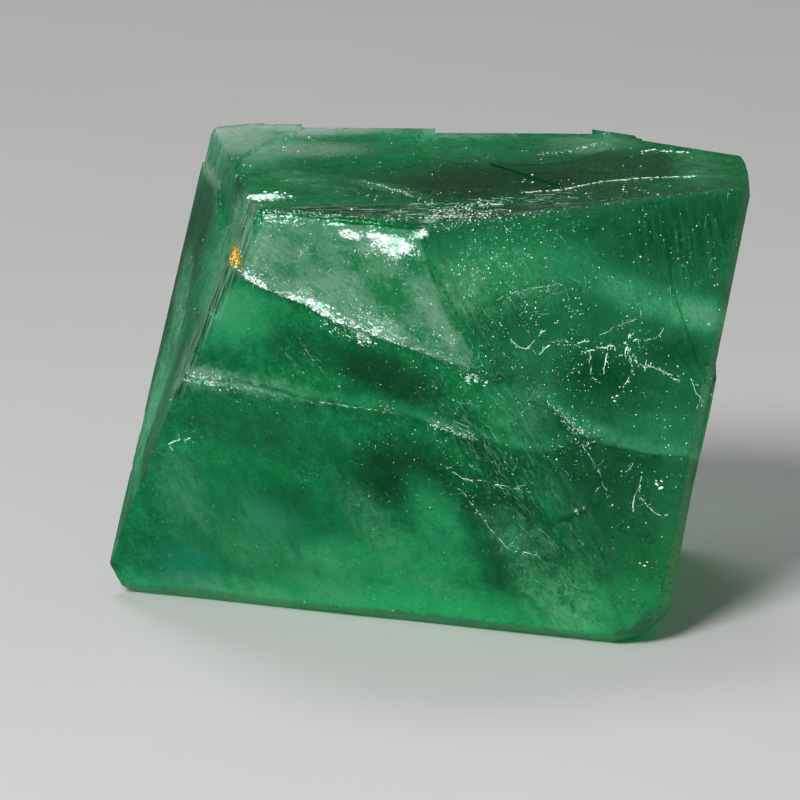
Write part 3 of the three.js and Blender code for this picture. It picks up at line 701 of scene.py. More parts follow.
def stone_patterns(tree, place):
    """The noises that vary the stone: soft and patchy clouds, fine veins, wisps and torn fibres."""
    veined = clouds(tree, place, 1.2, detail=9, rough=0.72, twist=0.35)
    speckle = clouds(tree, place, 5.0, detail=3, rough=0.6)
    wisps = streaks(tree, place, "leftFront", 2.4, 1.0, -68, low=0.25, high=0.8, twist=0.6, detail=3.0)
    calm = maths(tree, "ADD", maths(tree, "MULTIPLY", wisps, 0.16), 0.42)
    fine = blended(tree, veined, 0.65, speckle, 0.35)
    return SimpleNamespace(
        soft=clouds(tree, place, 0.16, detail=4, rough=0.6, twist=0.6),
        patchy=clouds(tree, place, 0.5, detail=5, rough=0.65, twist=0.5),
        veined=veined,
        wisps=wisps,
        fine=mixed(tree, times(tree, zone(tree, "calm"), 0.75), fine, calm),
        fibres=streaks(tree, place, "leftFront", 0.8, 0.13, -34, low=0.38, high=0.62, twist=0.7),
        grain=grained(tree, place))


def body_colour(tree, noises):
    """Green stone with dark clouds and light veins, greyer under the right front face."""
    colour = mixed(tree, stretched(tree, noises.soft, 0.35, 0.7, 0, 0.35), BODY, DEEP_GREEN_AND_PAINTED_SHADE)
    colour = mixed(tree, times(tree, zone(tree, "frost"), 0.6), colour, LIGHT_BODY)
    colour = mixed(tree, stretched(tree, noises.fine, 0.5, 0.68, 0, 0.7), colour, LIGHT_VEIN_AND_PAINTED_GLOW)
    colour = mixed(tree, stretched(tree, noises.fine, 0.5, 0.34, 0, 0.75), colour, DEEP_GREEN_AND_PAINTED_SHADE)
    greyer = times(tree, zone(tree, "veil"), stretched(tree, noises.fine, 0.36, 0.6, 0.4, 0.65))
    return mixed(tree, greyer, colour, GREYISH)


def with_zones(tree, noises, colour):
    """The darker zones with their painted shade, the lighter zones with their painted glow, and the bluish
    zones.
    """
    shaded = times(tree, zone(tree, "deep_and_painted_shade"), stretched(tree, noises.patchy, 0.2, 0.7, 1, 0.8))
    colour = mixed(tree, shaded, colour, DEEP_GREEN_AND_PAINTED_SHADE)
    lit = times(tree, zone(tree, "glow"), stretched(tree, noises.fine, 0.36, 0.6, 0.5, 1))
    colour = mixed(tree, lit, colour, mixed(tree, zone(tree, "veil"), LIGHT_VEIN_AND_PAINTED_GLOW, GREYISH_PAINTED_GLOW))
    return mixed(tree, times(tree, zone(tree, "blue"), 0.7), colour, BLUISH)


def milk_share(tree, place, noises):
    """Milky clouds, streaks down the worn ridge and faint scores."""
    cloudy = maths(tree, "ADD", stretched(tree, noises.fine, 0.44, 0.62), times(tree, noises.wisps, 0.5))
    milk = times(tree, zone(tree, "milk"), cloudy)
    flecks = streaks(tree, place, "leftFront", 0.9, 0.22, RIDGE_TURN, low=0.535, high=0.635, twist=0.9)
    flecks = times(tree, flecks, stretched(tree, noises.veined, 0.4, 0.6, 0.3, 1.8))
    milk = maths(tree, "MAXIMUM", milk, times(tree, zone(tree, "ridge"), flecks))
    scores = streaks(tree, place, "rightFront", 2.6, 0.22, 92, low=0.5, high=0.8)
    return maths(tree, "MAXIMUM", milk, times(tree, zone(tree, "scored"), scores))


def slab_colour(tree, noises):
    """The slab's curdled milk, smeared where the stone is milky and thinner in its dim spots."""
    smeared = times(tree, zone(tree, "milk"), stretched(tree, noises.fibres, 0.1, 0.9, 0.05, 0.9))
    curds = maths(tree, "ADD", stretched(tree, noises.fine, 0.41, 0.61, 0, 0.68), smeared)
    curds = maths(tree, "ADD", curds, stretched(tree, noises.patchy, 0.35, 0.65, 0, 0.28))
    curds = maths(tree, "SUBTRACT", curds, times(tree, zone(tree, "dim"), 0.6), clamp=True)
    return mixed(tree, curds, SLAB_GREEN, CURDLED)


def with_torn_edges(tree, place, colour):
    """The torn front edge of the top, and the fine lines of the stepped left edge, whose dark lines are
    partly painted shadow in its groove.
    """
    colour = mixed(tree, times(tree, zone(tree, "ragged"), 0.8), colour, DEEP_GREEN_AND_PAINTED_SHADE)
    torn = streaks(tree, place, "top", 1.8, 0.22, 4, low=0.54, high=0.61, twist=0.3)
    colour = mixed(tree, times(tree, zone(tree, "ragged"), torn), colour, FROSTED)
    # The dark lines are partly painted shadow in the groove of the stepped edge.
    lined = streaks(tree, place, "leftFront", 3.0, 0.16, 68, low=0.44, high=0.6, twist=0.2)
    return mixed(tree, times(tree, zone(tree, "edge"), 0.85), colour, mixed(tree, lined, DEEP_GREEN_AND_PAINTED_SHADE, CURDLED))


def crushed_share(tree, noises):
    """Torn white patches wherever the stone is crushed."""
    torn = blended(tree, noises.fibres, 0.8, noises.grain["Haze"], 0.6)
    torn = stretched(tree, maths(tree, "ADD", torn, zone(tree, "crush")), 1.15, 1.4)
    return times(tree, torn, stretched(tree, zone(tree, "crush"), 0.05, 0.3))


def stone_finish():
    """Clear green stone: the volume tints it, and soft zones with painted glow and painted shade, wisps,
    milk and grain vary its surface.
    """
    material, tree, surface = new_material("green_fluorite")
    place = add(tree, "ShaderNodeTexCoord").outputs["Object"]
    noises = stone_patterns(tree, place)
    milk, crushed = milk_share(tree, place, noises), crushed_share(tree, noises)

    colour = with_zones(tree, noises, body_colour(tree, noises))
    colour = mixed(tree, milk, colour, MILKY)
    colour = mixed(tree, zone(tree, "slab"), colour, slab_colour(tree, noises))
    colour = with_torn_edges(tree, place, colour)
    hazy = times(tree, zone(tree, "haze"), stretched(tree, noises.fine, 0.35, 0.6, 0.5, 1))
    colour = mixed(tree, hazy, colour, FROSTED)
    colour = mixed(tree, maths(tree, "MAXIMUM", crushed, noises.grain["Specks"]), colour, FROSTED)
    colour = mixed(tree, zone(tree, "stain"), colour, RUST)
    tree.links.new(colour, surface.inputs["Base Color"])

    dull = blended(tree, milk, 0.15, crushed, 0.35)
    rough = maths(tree, "ADD", dull, stretched(tree, noises.grain["Haze"], 0.3, 0.7, 0.22, 0.38))
    rough = maths(tree, "ADD", rough, maths(tree, "MULTIPLY", zone(tree, "frost"), 0.3), clamp=True)
    tree.links.new(rough, surface.inputs["Roughness"])
    roughen(tree, surface, noises.grain["Height"], strength=0.7, depth=0.04)

    surface.inputs["Metallic"].default_value = 0
    surface.inputs["IOR"].default_value = FLUORITE_IOR
    surface.inputs["Transmission Weight"].default_value = CLEARNESS
    surface.inputs["Specular IOR Level"].default_value = 0.25
    surface.inputs["Specular Tint"].default_value = GLEAM
    volume = add(tree, "ShaderNodeVolumeAbsorption", {"Color": VOLUME_COLOUR, "Density": VOLUME_DENSITY})
    tree.links.new(volume.outputs[0], tree.nodes["Material Output"].inputs["Volume"])
    return material


def crushed_finish(name, pale, dark, transmission, roughness):
    """Bruised stone: pale, and darker in clouds where it is thicker."""
    material, tree, surface = new_material(name)
    place = add(tree, "ShaderNodeTexCoord").outputs["Object"]
    grain = grained(tree, place)
    thickness = stretched(tree, clouds(tree, place, 2.4, detail=3, rough=0.6), 0.38, 0.58)
    tree.links.new(mixed(tree, thickness, dark, pale), surface.inputs["Base Color"])
    rough = stretched(tree, grain["Haze"], 0.3, 0.7, roughness + 0.12, roughness - 0.12)
    tree.links.new(rough, surface.inputs["Roughness"])
    roughen(tree, surface, grain["Height"], strength=0.5, depth=0.02)
    surface.inputs["Metallic"].default_value = 0
    surface.inputs["IOR"].default_value = FLUORITE_IOR
    surface.inputs["Transmission Weight"].default_value = transmission
    return material


# ------------------------------------------------------------ small pieces laid on the stone

START_OUTSIDE = 3.0            # mm that a ray starts outside a face
RAY_LENGTH = 8.0
LEAST_FACING = 0.6             # cosine: steeper spots belong to another face
HANDFUL = 30                   # bits that join their pile at once
TIPPING = 0.7                  # radians
WIDTHS, THICKNESSES = (0.2, 0.75), (0.5, 1.2)      # shares of a bit's length and of its flatness
SMALL_BITS = 2.5               # the higher, the more of the bits are small
TURN_OFF, TURN_SCATTER = -0.15, 0.5                # radians from the line that bits lie along
SUNK = 0.25                    # share of its thickness that a bit lies under the surface
SHARD_SIDES, SHARD_TOPS, SHARD_DEPTH = (3, 4, 5), (0.2, 0.8), 1.6      # top and depth in radii of the foot


def on_stone(surface, face, x, y):
    """The place and the outward direction of the stone's surface under a spot of a face, or None."""
    start = (FACES[face] @ Vector((x, y, START_OUTSIDE))) * MM
    place, normal, _, _ = surface.ray_cast(start, -OUTWARD[face], RAY_LENGTH * MM)
    if place is None or normal.dot(OUTWARD[face]) < LEAST_FACING:
        return None
    return place, normal


def tumbled(place, face, size, flat, turn, dice):
    """A matrix that lays a bit of stone on a face, turned as given and tipped at random."""
    lie = FACES[face].to_3x3().to_4x4()
    spin = Matrix.Rotation(turn, 4, "Z")
    tip = Matrix.Rotation(dice.uniform(-TIPPING, TIPPING), 4, "X")
    width, thickness = size * dice.uniform(*WIDTHS), size * flat * dice.uniform(*THICKNESSES)
    shape = Matrix.Diagonal((size * MM, width * MM, thickness * MM, 1))
    return Matrix.Translation(place) @ lie @ spin @ tip @ shape


def shard(bm, matrix, dice):
    bmesh.ops.create_cone(bm, cap_ends=True, segments=dice.choice(SHARD_SIDES), radius1=1,
                          radius2=dice.uniform(*SHARD_TOPS), depth=SHARD_DEPTH, matrix=matrix)


def grain_of_dust(bm, matrix, dice):
    """A round grain. It leaves the dice alone, and has them only to be called as a shard is."""
    bmesh.ops.create_icosphere(bm, subdivisions=1, radius=1, matrix=matrix)


def line_length(line):
    return sum(math.dist(a, b) for a, b in zip(line, line[1:]))


def spots_along(line, count, spread, dice):
    """Spots scattered about a traced line, each with the way the line runs there."""
    stretches = list(zip(line, line[1:]))
    lengths = [math.dist(a, b) for a, b in stretches]
    for _ in range(count):
        (ax, ay), (bx, by) = dice.choices(stretches, lengths)[0]
        share = dice.random()
        yield (ax + (bx - ax) * share + dice.gauss(0, spread),
               ay + (by - ay) * share + dice.gauss(0, spread), math.atan2(by - ay, bx - ax))


def strew(surface, spots, size, flat, make, pile, dice):
    """Lays bits of stone on the surface and adds them to a pile, a handful at a time to stay quick."""
    handful, mesh = bmesh.new(), bpy.data.meshes.new("handful")
    smallest, largest = size
    for number, (face, x, y, turn) in enumerate(spots):
        hit = on_stone(surface, face, x, y)
        if hit:
            place, normal = hit
            girth = smallest + (largest - smallest) * dice.random() ** SMALL_BITS
            place = place - normal * girth * flat * SUNK * MM
            lying = turn + dice.gauss(TURN_OFF, TURN_SCATTER)
            make(handful, tumbled(place, face, girth, flat, lying, dice), dice)
        if number % HANDFUL == 0 or number == len(spots) - 1:
            handful.to_mesh(mesh)
            pile.from_mesh(mesh)
            handful.clear()
    handful.free()
    bpy.data.meshes.remove(mesh)


# face, traced line, how many, spread, smallest and largest half size (mm)
CRUSHED_LINES = [
    ("leftFront", [(-8.4, 12.9), (-7.3, 12.4)], 30, 0.06, (0.03, 0.10)),
    ("leftFront", [(-7.2, 12.5), (-5.7, 11.6)], 220, 0.20, (0.03, 0.18)),
    ("leftFront", [(-7.0, 13.4), (-5.0, 12.2)], 90, 0.45, (0.02, 0.08)),
    ("leftFront", [(-5.8, 11.6), (-3.9, 11.1)], 50, 0.06, (0.03, 0.10)),
    ("leftFront", [(-4.2, 11.2), (-2.3, 10.9)], 200, 0.18, (0.03, 0.20)),
    ("leftFront", [(-2.4, 10.6), (-1.3, 9.9), (0.3, 9.0)], 300, 0.26, (0.03, 0.22)),
    ("leftFront", [(0.7, 9.7), (1.5, 9.2)], 70, 0.18, (0.04, 0.22)),
    ("leftFront", [(-2.2, 9.6), (-0.6, 8.8), (0.8, 8.4)], 160, 0.25, (0.03, 0.15)),
    ("leftFront", [(0.4, 9.3), (2.5, 8.6), (4.8, 8.0), (7.0, 7.3)], 240, 0.32, (0.02, 0.10)),
    ("leftFront", [(-0.5, 10.0), (1.5, 9.6), (3.0, 9.0)], 100, 0.4, (0.02, 0.09)),
    ("leftFront", [(-6.6, 12.8), (-5.6, 12.2)], 110, 0.30, (0.015, 0.06)),
    ("leftFront", [(-3.8, 11.9), (-2.4, 11.4)], 200, 0.30, (0.015, 0.07)),
    ("leftFront", [(-0.3, 11.0), (1.2, 10.3)], 200, 0.34, (0.015, 0.07)),
    ("leftFront", [(1.2, 10.4), (2.6, 9.9)], 160, 0.24, (0.015, 0.07)),
    ("leftFront", [(2.5, 15.9), (3.4, 15.7), (4.1, 15.4)], 560, 0.22, (0.04, 0.26)),
    ("leftFront", [(1.6, 16.1), (2.6, 15.9)], 150, 0.14, (0.03, 0.18)),
    ("leftFront", [(1.7, 15.6), (2.3, 15.3)], 90, 0.16, (0.03, 0.16)),
    ("leftFront", [(2.8, 15.1), (3.4, 14.8)], 130, 0.16, (0.03, 0.18)),
    ("leftFront", [(4.4, 16.2), (5.2, 16.3)], 130, 0.10, (0.03, 0.18)),
    ("leftFront", [(4.3, 15.6), (4.9, 15.0)], 60, 0.08, (0.02, 0.12)),
    ("leftFront", [(0.4, 15.5), (3.8, 14.5)], 160, 0.55, (0.02, 0.09)),
    ("leftFront", [(2.6, 15.8), (4.0, 15.4)], 24, 0.18, (0.12, 0.26)),
    ("leftFront", [(-3.2, 10.9), (-0.6, 9.8)], 26, 0.18, (0.10, 0.24)),
    ("leftFront", [(-0.2, 16.1), (1.0, 15.9)], 190, 0.15, (0.04, 0.18)),
    ("leftFront", [(-5.6, 16.6), (-2.8, 16.4)], 120, 0.10, (0.03, 0.12)),
    ("leftFront", [(-1.6, 16.8), (0.0, 16.7)], 60, 0.10, (0.03, 0.12)),
    ("leftFront", [(-7.2, 16.8), (-4.6, 15.9)], 120, 0.35, (0.02, 0.10)),
    ("leftFront", [(4.0, 3.0), (5.2, 2.7), (6.8, 2.3)], 260, 0.14, (0.02, 0.10)),
    ("leftFront", [(-12.2, 4.7), (-10.0, 4.6)], 340, 0.26, (0.02, 0.10)),
    ("leftFront", [(-10.0, 4.5), (-6.4, 4.1)], 120, 0.22, (0.02, 0.07)),
    ("leftFront", [(-6.0, 3.9), (-2.0, 3.8)], 60, 0.12, (0.02, 0.05)),
    ("leftFront", [(5.2, 9.8), (6.5, 9.2)], 60, 0.25, (0.02, 0.09)),
    ("leftFront", [(3.4, 9.8), (5.6, 8.0), (7.0, 7.4)], 160, 0.45, (0.02, 0.07)),
    ("leftFront", [(6.6, 6.4), (7.6, 6.8)], 120, 0.22, (0.02, 0.14)),
    ("rightFront", [(-0.5, -1.2), (0.3, -2.0), (1.0, -2.9)], 150, 0.18, (0.02, 0.10)),
    ("rightFront", [(-8.2, 10.6), (-4.6, 11.1), (1.0, 10.9)], 420, 0.22, (0.02, 0.09)),
    ("rightFront", [(1.0, 10.9), (5.5, 10.9), (13.8, 10.8)], 130, 0.12, (0.02, 0.06)),
    ("rightFront", [(-5.6, 1.9), (-4.9, 1.4)], 70, 0.22, (0.02, 0.11)),
    ("rightFront", [(-2.5, -0.2), (-1.5, 0.1)], 40, 0.3, (0.02, 0.06)),
    ("rightFront", [(0.1, -8.2), (0.7, -8.8), (1.3, -9.8), (1.9, -10.5)], 50, 0.06, (0.02, 0.06)),
    ("rightFront", [(-0.7, -8.0), (0.9, -7.4)], 60, 0.12, (0.02, 0.08)),
    ("rightFront", [(-5.6, 9.8), (-4.2, 8.7), (-3.2, 7.6)], 50, 0.35, (0.02, 0.09)),
    ("rightFront", [(-2.4, 8.6), (-1.2, 8.0), (-0.2, 8.1)], 30, 0.30, (0.02, 0.09)),
    ("top", [(-11.2, -10.6), (-8.5, -11.6), (-5.8, -12.7), (-2.4, -13.6)], 420, 0.55, (0.02, 0.10)),
    ("top", [(-9.7, -11.6), (-8.9, -12.0)], 90, 0.10, (0.03, 0.14)),
    ("top", [(-6.8, -13.0), (-5.8, -13.4)], 90, 0.10, (0.03, 0.14)),
    ("top", [(-1.0, -12.6), (1.2, -12.0), (3.4, -11.6)], 420, 0.60, (0.02, 0.10)),
    ("top", [(-11.9, -6.6), (-9.9, -6.2)], 260, 0.45, (0.05, 0.22)),
    ("top", [(-13.4, -5.5), (-12.7, -1.5)], 40, 0.5, (0.02, 0.10)),
    ("top", [(-0.6, -12.7), (0.6, -10.3), (1.8, -8.8), (3.6, -8.5)], 300, 0.5, (0.03, 0.12)),
    ("top", [(-4.8, -1.2), (-3.7, -2.7), (-2.4, -4.3), (-1.2, -7.0)], 160, 0.22, (0.03, 0.12)),
    ("top", [(6.3, 8.2), (8.9, 9.8), (10.2, 12.1), (10.9, 15.0)], 120, 0.2, (0.03, 0.10)),
]
# face, how many, x from and to, y from and to, smallest and largest half size (mm)
DUSTED_AREAS = [
    ("rightFront", 850, -8, 12, -9, 10.8, (0.016, 0.07)),
    ("rightFront", 110, -4, 9, -14, -9, (0.016, 0.06)),
    ("rightFront", 700, -8, 2, -6, 10.8, (0.018, 0.065)),
    ("leftFront", 300, -12, 9, -12, 16, (0.014, 0.05)),
    ("leftFront", 260, -2, 9, -3, 9, (0.016, 0.055)),
    ("leftFront", 260, -8, 6, 9, 16.4, (0.014, 0.05)),
    ("rightFront", 50, -6.5, 0.5, 6.2, 10.4, (0.025, 0.08)),
    ("top", 320, -14, 17, -13, 14, (0.02, 0.09)),
    ("top", 150, -6, 16, -13, -3, (0.02, 0.09)),
    ("right", 300, -12, 12, -12, 12, (0.015, 0.06)),
    ("backRight", 300, -10, 10, -12, 12, (0.015, 0.06)),
    ("back", 300, -12, 12, -12, 12, (0.015, 0.06)),
    ("backLeft", 300, -12, 12, -12, 12, (0.015, 0.06)),
    ("left", 120, -10, 10, -10, 12, (0.015, 0.06)),
]
# The few larger grains: face, x, y, half size.
LARGE_GRAINS = [
    ("rightFront", 6.2, -6.55, 0.20), ("rightFront", 6.45, -6.8, 0.22), ("rightFront", 6.55, -6.4, 0.13),
    ("rightFront", 3.65, -1.15, 0.16), ("rightFront", 3.85, -0.85, 0.13), ("rightFront", 3.5, -0.9, 0.09),
    ("rightFront", 4.8, -11.4, 0.14), ("rightFront", 4.5, -11.2, 0.09), ("rightFront", 5.0, -11.2, 0.08),
    ("rightFront", 6.4, 7.4, 0.09), ("rightFront", 2.0, -6.3, 0.10),
    ("leftFront", -1.9, 5.1, 0.08), ("rightFront", 3.9, -8.9, 0.07), ("rightFront", 5.1, 3.9, 0.07),
]
# The rusty spot on the stepped left edge: traced line, how many, spread, smallest and largest half size.
STAINED = ([(-8.1, 12.9), (-7.8, 13.8)], 260, 0.2, (0.03, 0.12))
# How dust crowds: shares on average and in the thick of it, and waves per mm.
AVERAGE_DUST, CROWDED_DUST, DUST_WAVES = 0.5, 1.6, 0.45
ANY_WAY = 3                    # radians to either side
# Bits along a hairline: how many per mm, spread, smallest half size, largest as a share of its half width.
CRACK_BITS = (9, 0.09, 0.02, 2.6)
FLAT_SHARD, FLAT_BIT, FLAT_GRAIN = 0.6, 0.7, 0.8   # thickness as a share of length


def lay_crushed_stone(surface, material):
    dice = random.Random(11)
    bm = bmesh.new()
    for face, line, count, spread, size in CRUSHED_LINES:
        spots = [(face, *spot) for spot in spots_along(line, count, spread, dice)]
        strew(surface, spots, size, FLAT_SHARD, shard, bm, dice)
    add_piece("crushed_stone", finish_mesh(bm, "crushed_stone"), material)


def dusty_spots(face, count, left, right, low, high, dice):
    """Spots that crowd together in places, as settled dust does."""
    while count:
        x, y = dice.uniform(left, right), dice.uniform(low, high)
        crowd = AVERAGE_DUST + CROWDED_DUST * noise.noise(Vector((x * DUST_WAVES, y * DUST_WAVES, 3)))
        if dice.random() < crowd:
            yield face, x, y, dice.uniform(-ANY_WAY, ANY_WAY)
            count -= 1


def lay_pale_grains(surface, material):
    """Dust on the faces, bits along the hairline cracks and the few larger grains."""
    dice = random.Random(23)
    bm = bmesh.new()
    for face, count, left, right, low, high, size in DUSTED_AREAS:
        spots = list(dusty_spots(face, count, left, right, low, high, dice))
        strew(surface, spots, size, FLAT_GRAIN, grain_of_dust, bm, dice)
    per_mm, spread, smallest, widths = CRACK_BITS
    for face, line, half_width in HAIRLINES:
        count = round(line_length(line) * per_mm)
        spots = [(face, *spot) for spot in spots_along(line, count, spread, dice)]
        strew(surface, spots, (smallest, half_width * widths), FLAT_BIT, shard, bm, dice)
    for face, x, y, size in LARGE_GRAINS:
        strew(surface, [(face, x, y, 0)], (size, size), FLAT_GRAIN, grain_of_dust, bm, dice)
    add_piece("pale_grains", finish_mesh(bm, "pale_grains"), material)


def lay_iron_stain(surface, material):
    dice = random.Random(5)
    bm = bmesh.new()
    line, count, spread, size = STAINED
    spots = [("leftFront", *spot) for spot in spots_along(line, count, spread, dice)]
    strew(surface, spots, size, FLAT_SHARD, shard, bm, dice)
    add_piece("iron_stain", finish_mesh(bm, "iron_stain"), material)


# ------------------------------------------------------------ hairline cracks and scratches

# face, traced line, half width (mm)
HAIRLINES = [
    ("leftFront", [(-8.0, 12.8), (-7.7, 12.6), (-7.1, 12.2), (-6.5, 12.0), (-5.9, 11.5), (-5.6, 11.3),
                   (-4.9, 11.2), (-4.3, 11.1), (-3.6, 11.2), (-2.9, 11.0), (-2.2, 10.7)], 0.06),
    ("leftFront", [(-2.3, 10.6), (-1.6, 9.9), (-0.6, 9.6), (0.1, 9.0)], 0.05),
    ("leftFront", [(1.7, 9.1), (3.9, 8.2), (5.4, 7.8), (7.2, 7.2)], 0.03),
    ("rightFront", [(-3.9, 4.4), (-3.5, 3.9)], 0.04),
    ("rightFront", [(-3.3, 3.4), (-2.9, 3.0), (-2.4, 2.7), (-1.8, 3.0), (-1.2, 3.5), (-0.7, 3.8)], 0.034),
    ("rightFront", [(-1.4, 2.3), (-0.8, 2.7), (-0.5, 2.9), (0.4, 2.9), (1.1, 2.6), (2.5, 2.8)], 0.038),
    ("rightFront", [(1.6, 2.1), (2.4, 2.1), (3.1, 2.2), (3.7, 2.2), (4.5, 2.2), (4.9, 2.3),
                    (5.2, 2.9)], 0.046),
    ("rightFront", [(4.9, 2.1), (4.7, 1.7), (4.2, 1.5)], 0.045),
    ("rightFront", [(4.9, 2.1), (5.3, 1.4), (5.6, 0.9), (5.8, 0.7), (6.4, 0.7), (6.5, 1.0)], 0.048),
    ("rightFront", [(6.4, 0.7), (6.9, 0.5), (7.5, 0.1), (7.8, -0.2), (8.3, -0.4), (8.5, -0.8)], 0.042),
    ("rightFront", [(9.2, -0.4), (9.4, -1.1), (9.8, -1.7), (10.2, -2.0)], 0.042),
    ("rightFront", [(3.5, 2.3), (3.5, 1.7), (3.2, 1.1), (3.1, 0.6)], 0.04),
    ("rightFront", [(4.9, 1.9), (5.1, 0.9), (5.0, 0.3), (4.5, -0.2), (4.3, -0.5)], 0.04),
    ("rightFront", [(1.9, 2.1), (2.2, 1.8), (2.1, 1.2), (2.2, 0.5), (2.5, 0.1)], 0.022),
    ("rightFront", [(5.3, 2.4), (5.8, 2.4), (6.4, 2.3), (7.2, 2.4)], 0.034),
    ("rightFront", [(5.2, -5.7), (5.0, -6.4), (4.6, -7.0), (4.3, -7.9)], 0.034),
    ("rightFront", [(-0.8, -8.0), (0.0, -7.7), (0.9, -7.3)], 0.03),
    ("rightFront", [(4.7, -7.0), (5.2, -7.5), (5.8, -8.2), (6.3, -8.5), (6.8, -8.5)], 0.028),
    ("rightFront", [(4.6, -4.9), (4.6, -5.2), (4.2, -5.5)], 0.02),
    ("rightFront", [(3.0, 3.0), (4.1, 3.3), (6.0, 3.7)], 0.018),
    ("rightFront", [(-4.0, 5.9), (-2.7, 6.2), (-0.9, 6.3), (0.6, 6.4)], 0.02),
    ("rightFront", [(0.9, -3.2), (1.6, -4.2), (2.1, -5.1), (2.7, -7.0)], 0.018),
    ("rightFront", [(-1.3, -0.5), (-0.3, -1.4), (0.7, -2.4), (1.7, -3.0)], 0.02),
    ("leftFront", [(-5.5, 7.4), (-4.7, 6.4), (-4.0, 5.5)], 0.008),
    ("leftFront", [(-4.4, 8.3), (-3.5, 6.9), (-2.6, 5.6), (-2.4, 4.9)], 0.008),
    ("leftFront", [(-14.4, -0.3), (-13.6, 0.0), (-12.6, 0.3)], 0.04),
    ("leftFront", [(4.4, 0.1), (5.6, -0.6), (7.1, -0.7), (8.6, -0.9), (10.1, -1.1)], 0.02),
    ("leftFront", [(5.2, -1.3), (6.1, -2.5), (7.0, -4.0), (8.1, -5.3), (9.9, -5.5)], 0.02),
    ("leftFront", [(-3.7, 3.8), (-1.4, 3.7), (1.0, 3.6), (2.6, 3.4), (4.0, 3.1)], 0.022),
    ("leftFront", [(-2.1, 15.3), (-2.9, 14.6), (-3.4, 14.0)], 0.014),
    ("top", [(4.9, -5.2), (7.4, -4.3), (9.9, -1.8), (12.4, -0.6), (16.1, 0.0)], 0.04),
    ("top", [(12.6, 7.6), (14.2, 8.9), (15.7, 8.2)], 0.06),
    ("leftFront", [(-2.2, 10.9), (-1.7, 10.2), (-1.1, 9.9), (-0.5, 9.3), (0.2, 9.0), (0.6, 8.6)], 0.03),
    ("leftFront", [(-1.9, 10.2), (-1.2, 9.4), (-0.6, 9.2), (0.1, 8.5)], 0.025),
    ("leftFront", [(-0.4, 10.1), (0.4, 9.8), (1.0, 9.3), (1.6, 9.4), (2.1, 8.9)], 0.025),
    ("leftFront", [(0.9, 9.9), (1.8, 9.7), (2.6, 9.2), (3.4, 9.2)], 0.022),
    ("leftFront", [(-5.9, 11.8), (-5.2, 11.5), (-4.6, 11.6), (-4.0, 11.4)], 0.022),
]
# Dark tubes beside the slab, painted shadow in the grooves there.
PAINTED_SHADOW_LINES = [
    ("leftFront", [(4.4, 15.7), (5.2, 14.3), (6.1, 12.5), (6.9, 10.7), (7.9, 8.9)], 0.06),
    ("rightFront", [(-9.3, 10.1), (-8.4, 8.7), (-7.4, 6.9), (-6.5, 5.1), (-5.4, 3.3), (-4.2, 1.5)], 0.03),
]
# Zones of fine scratches: face, traced middle line, spread, how many, direction, its scatter (degrees).
SCRATCHED = [
    ("leftFront", [(5.4, 5.0), (7.6, 1.6), (9.2, -2.2), (10.4, -5.6), (11.0, -9.5)], 0.9, 70, -58, 16),
    ("rightFront", [(-6.8, 7.5), (-4.4, 1.5), (-2.2, -4.0), (0.3, -9.0)], 0.8, 60, -62, 18),
    ("rightFront", [(-5.0, 8.0), (1.0, 6.0)], 1.6, 34, -40, 30),
    ("leftFront", [(-6.0, 14.0), (3.0, 12.0)], 1.6, 24, -30, 60),
    ("rightFront", [(9.0, 8.5), (11.0, 6.5)], 1.6, 14, 86, 5),
    ("top", [(-4.0, -11.0), (8.0, -6.0)], 1.2, 70, 8, 20),
]
CRACK_SEED = 31
CRACK_STEP = 0.09
CRACK_WANDER = 0.10
WANDER_WAVES, WIDTH_WAVES = 3.2, 4.5               # per mm
WIDTH, WIDTH_CHANGE = 0.6, 1.6                     # shares of a hairline's traced half width
THINNEST = 0.3                 # share of its half width under which a hairline is healed
# Twigs leave a crack at an angle (radians) and bend by up to so much at each step.
TWIGS_PER_MM, TWIG_WIDTH, TWIG_ANGLE = 1.1, 0.55, (0.5, 1.4)
TWIG_STEPS, TWIG_STEP, TWIG_BEND = (2, 4), 0.2, 0.5
SCRATCH_STEPS, SCRATCH_STEP, SCRATCH_BEND = (3, 11), 0.13, 0.18
SCRATCH_HALF_WIDTHS, SHORTEST_SCRATCH = (0.004, 0.013), 3
# The hidden sides: how many hairlines each, the ways they run (degrees, and their scatter), where they
# start (x, y), their steps, their bend at each step (radians) and their half widths.
SIDE_HAIRLINES, CLEAVAGE_TURNS, CLEAVAGE_SCATTER = 6, (-50, 4, 62), 12
SIDE_STARTS = (-7, 7), (-4, 11)
SIDE_STEPS, SIDE_STEP, SIDE_BEND = (3, 7), 0.6, 0.4
SIDE_HALF_WIDTHS = (0.025, 0.055)
# Their bruises, at each hairline's start and along the upper edge: how many bits, spread, half sizes.
START_BRUISE, EDGE_BRUISE = (40, 0.25, (0.02, 0.14)), (160, 0.25, (0.02, 0.12))
UPPER_EDGE = [(-9.0, 13.6), (9.0, 13.6)]
# Their scratches: how far across and up the middle line lies, spread, how many, direction and scatter.
SIDE_SCRATCHES = (6.0, 8, 3.0, 60, 60, 30)


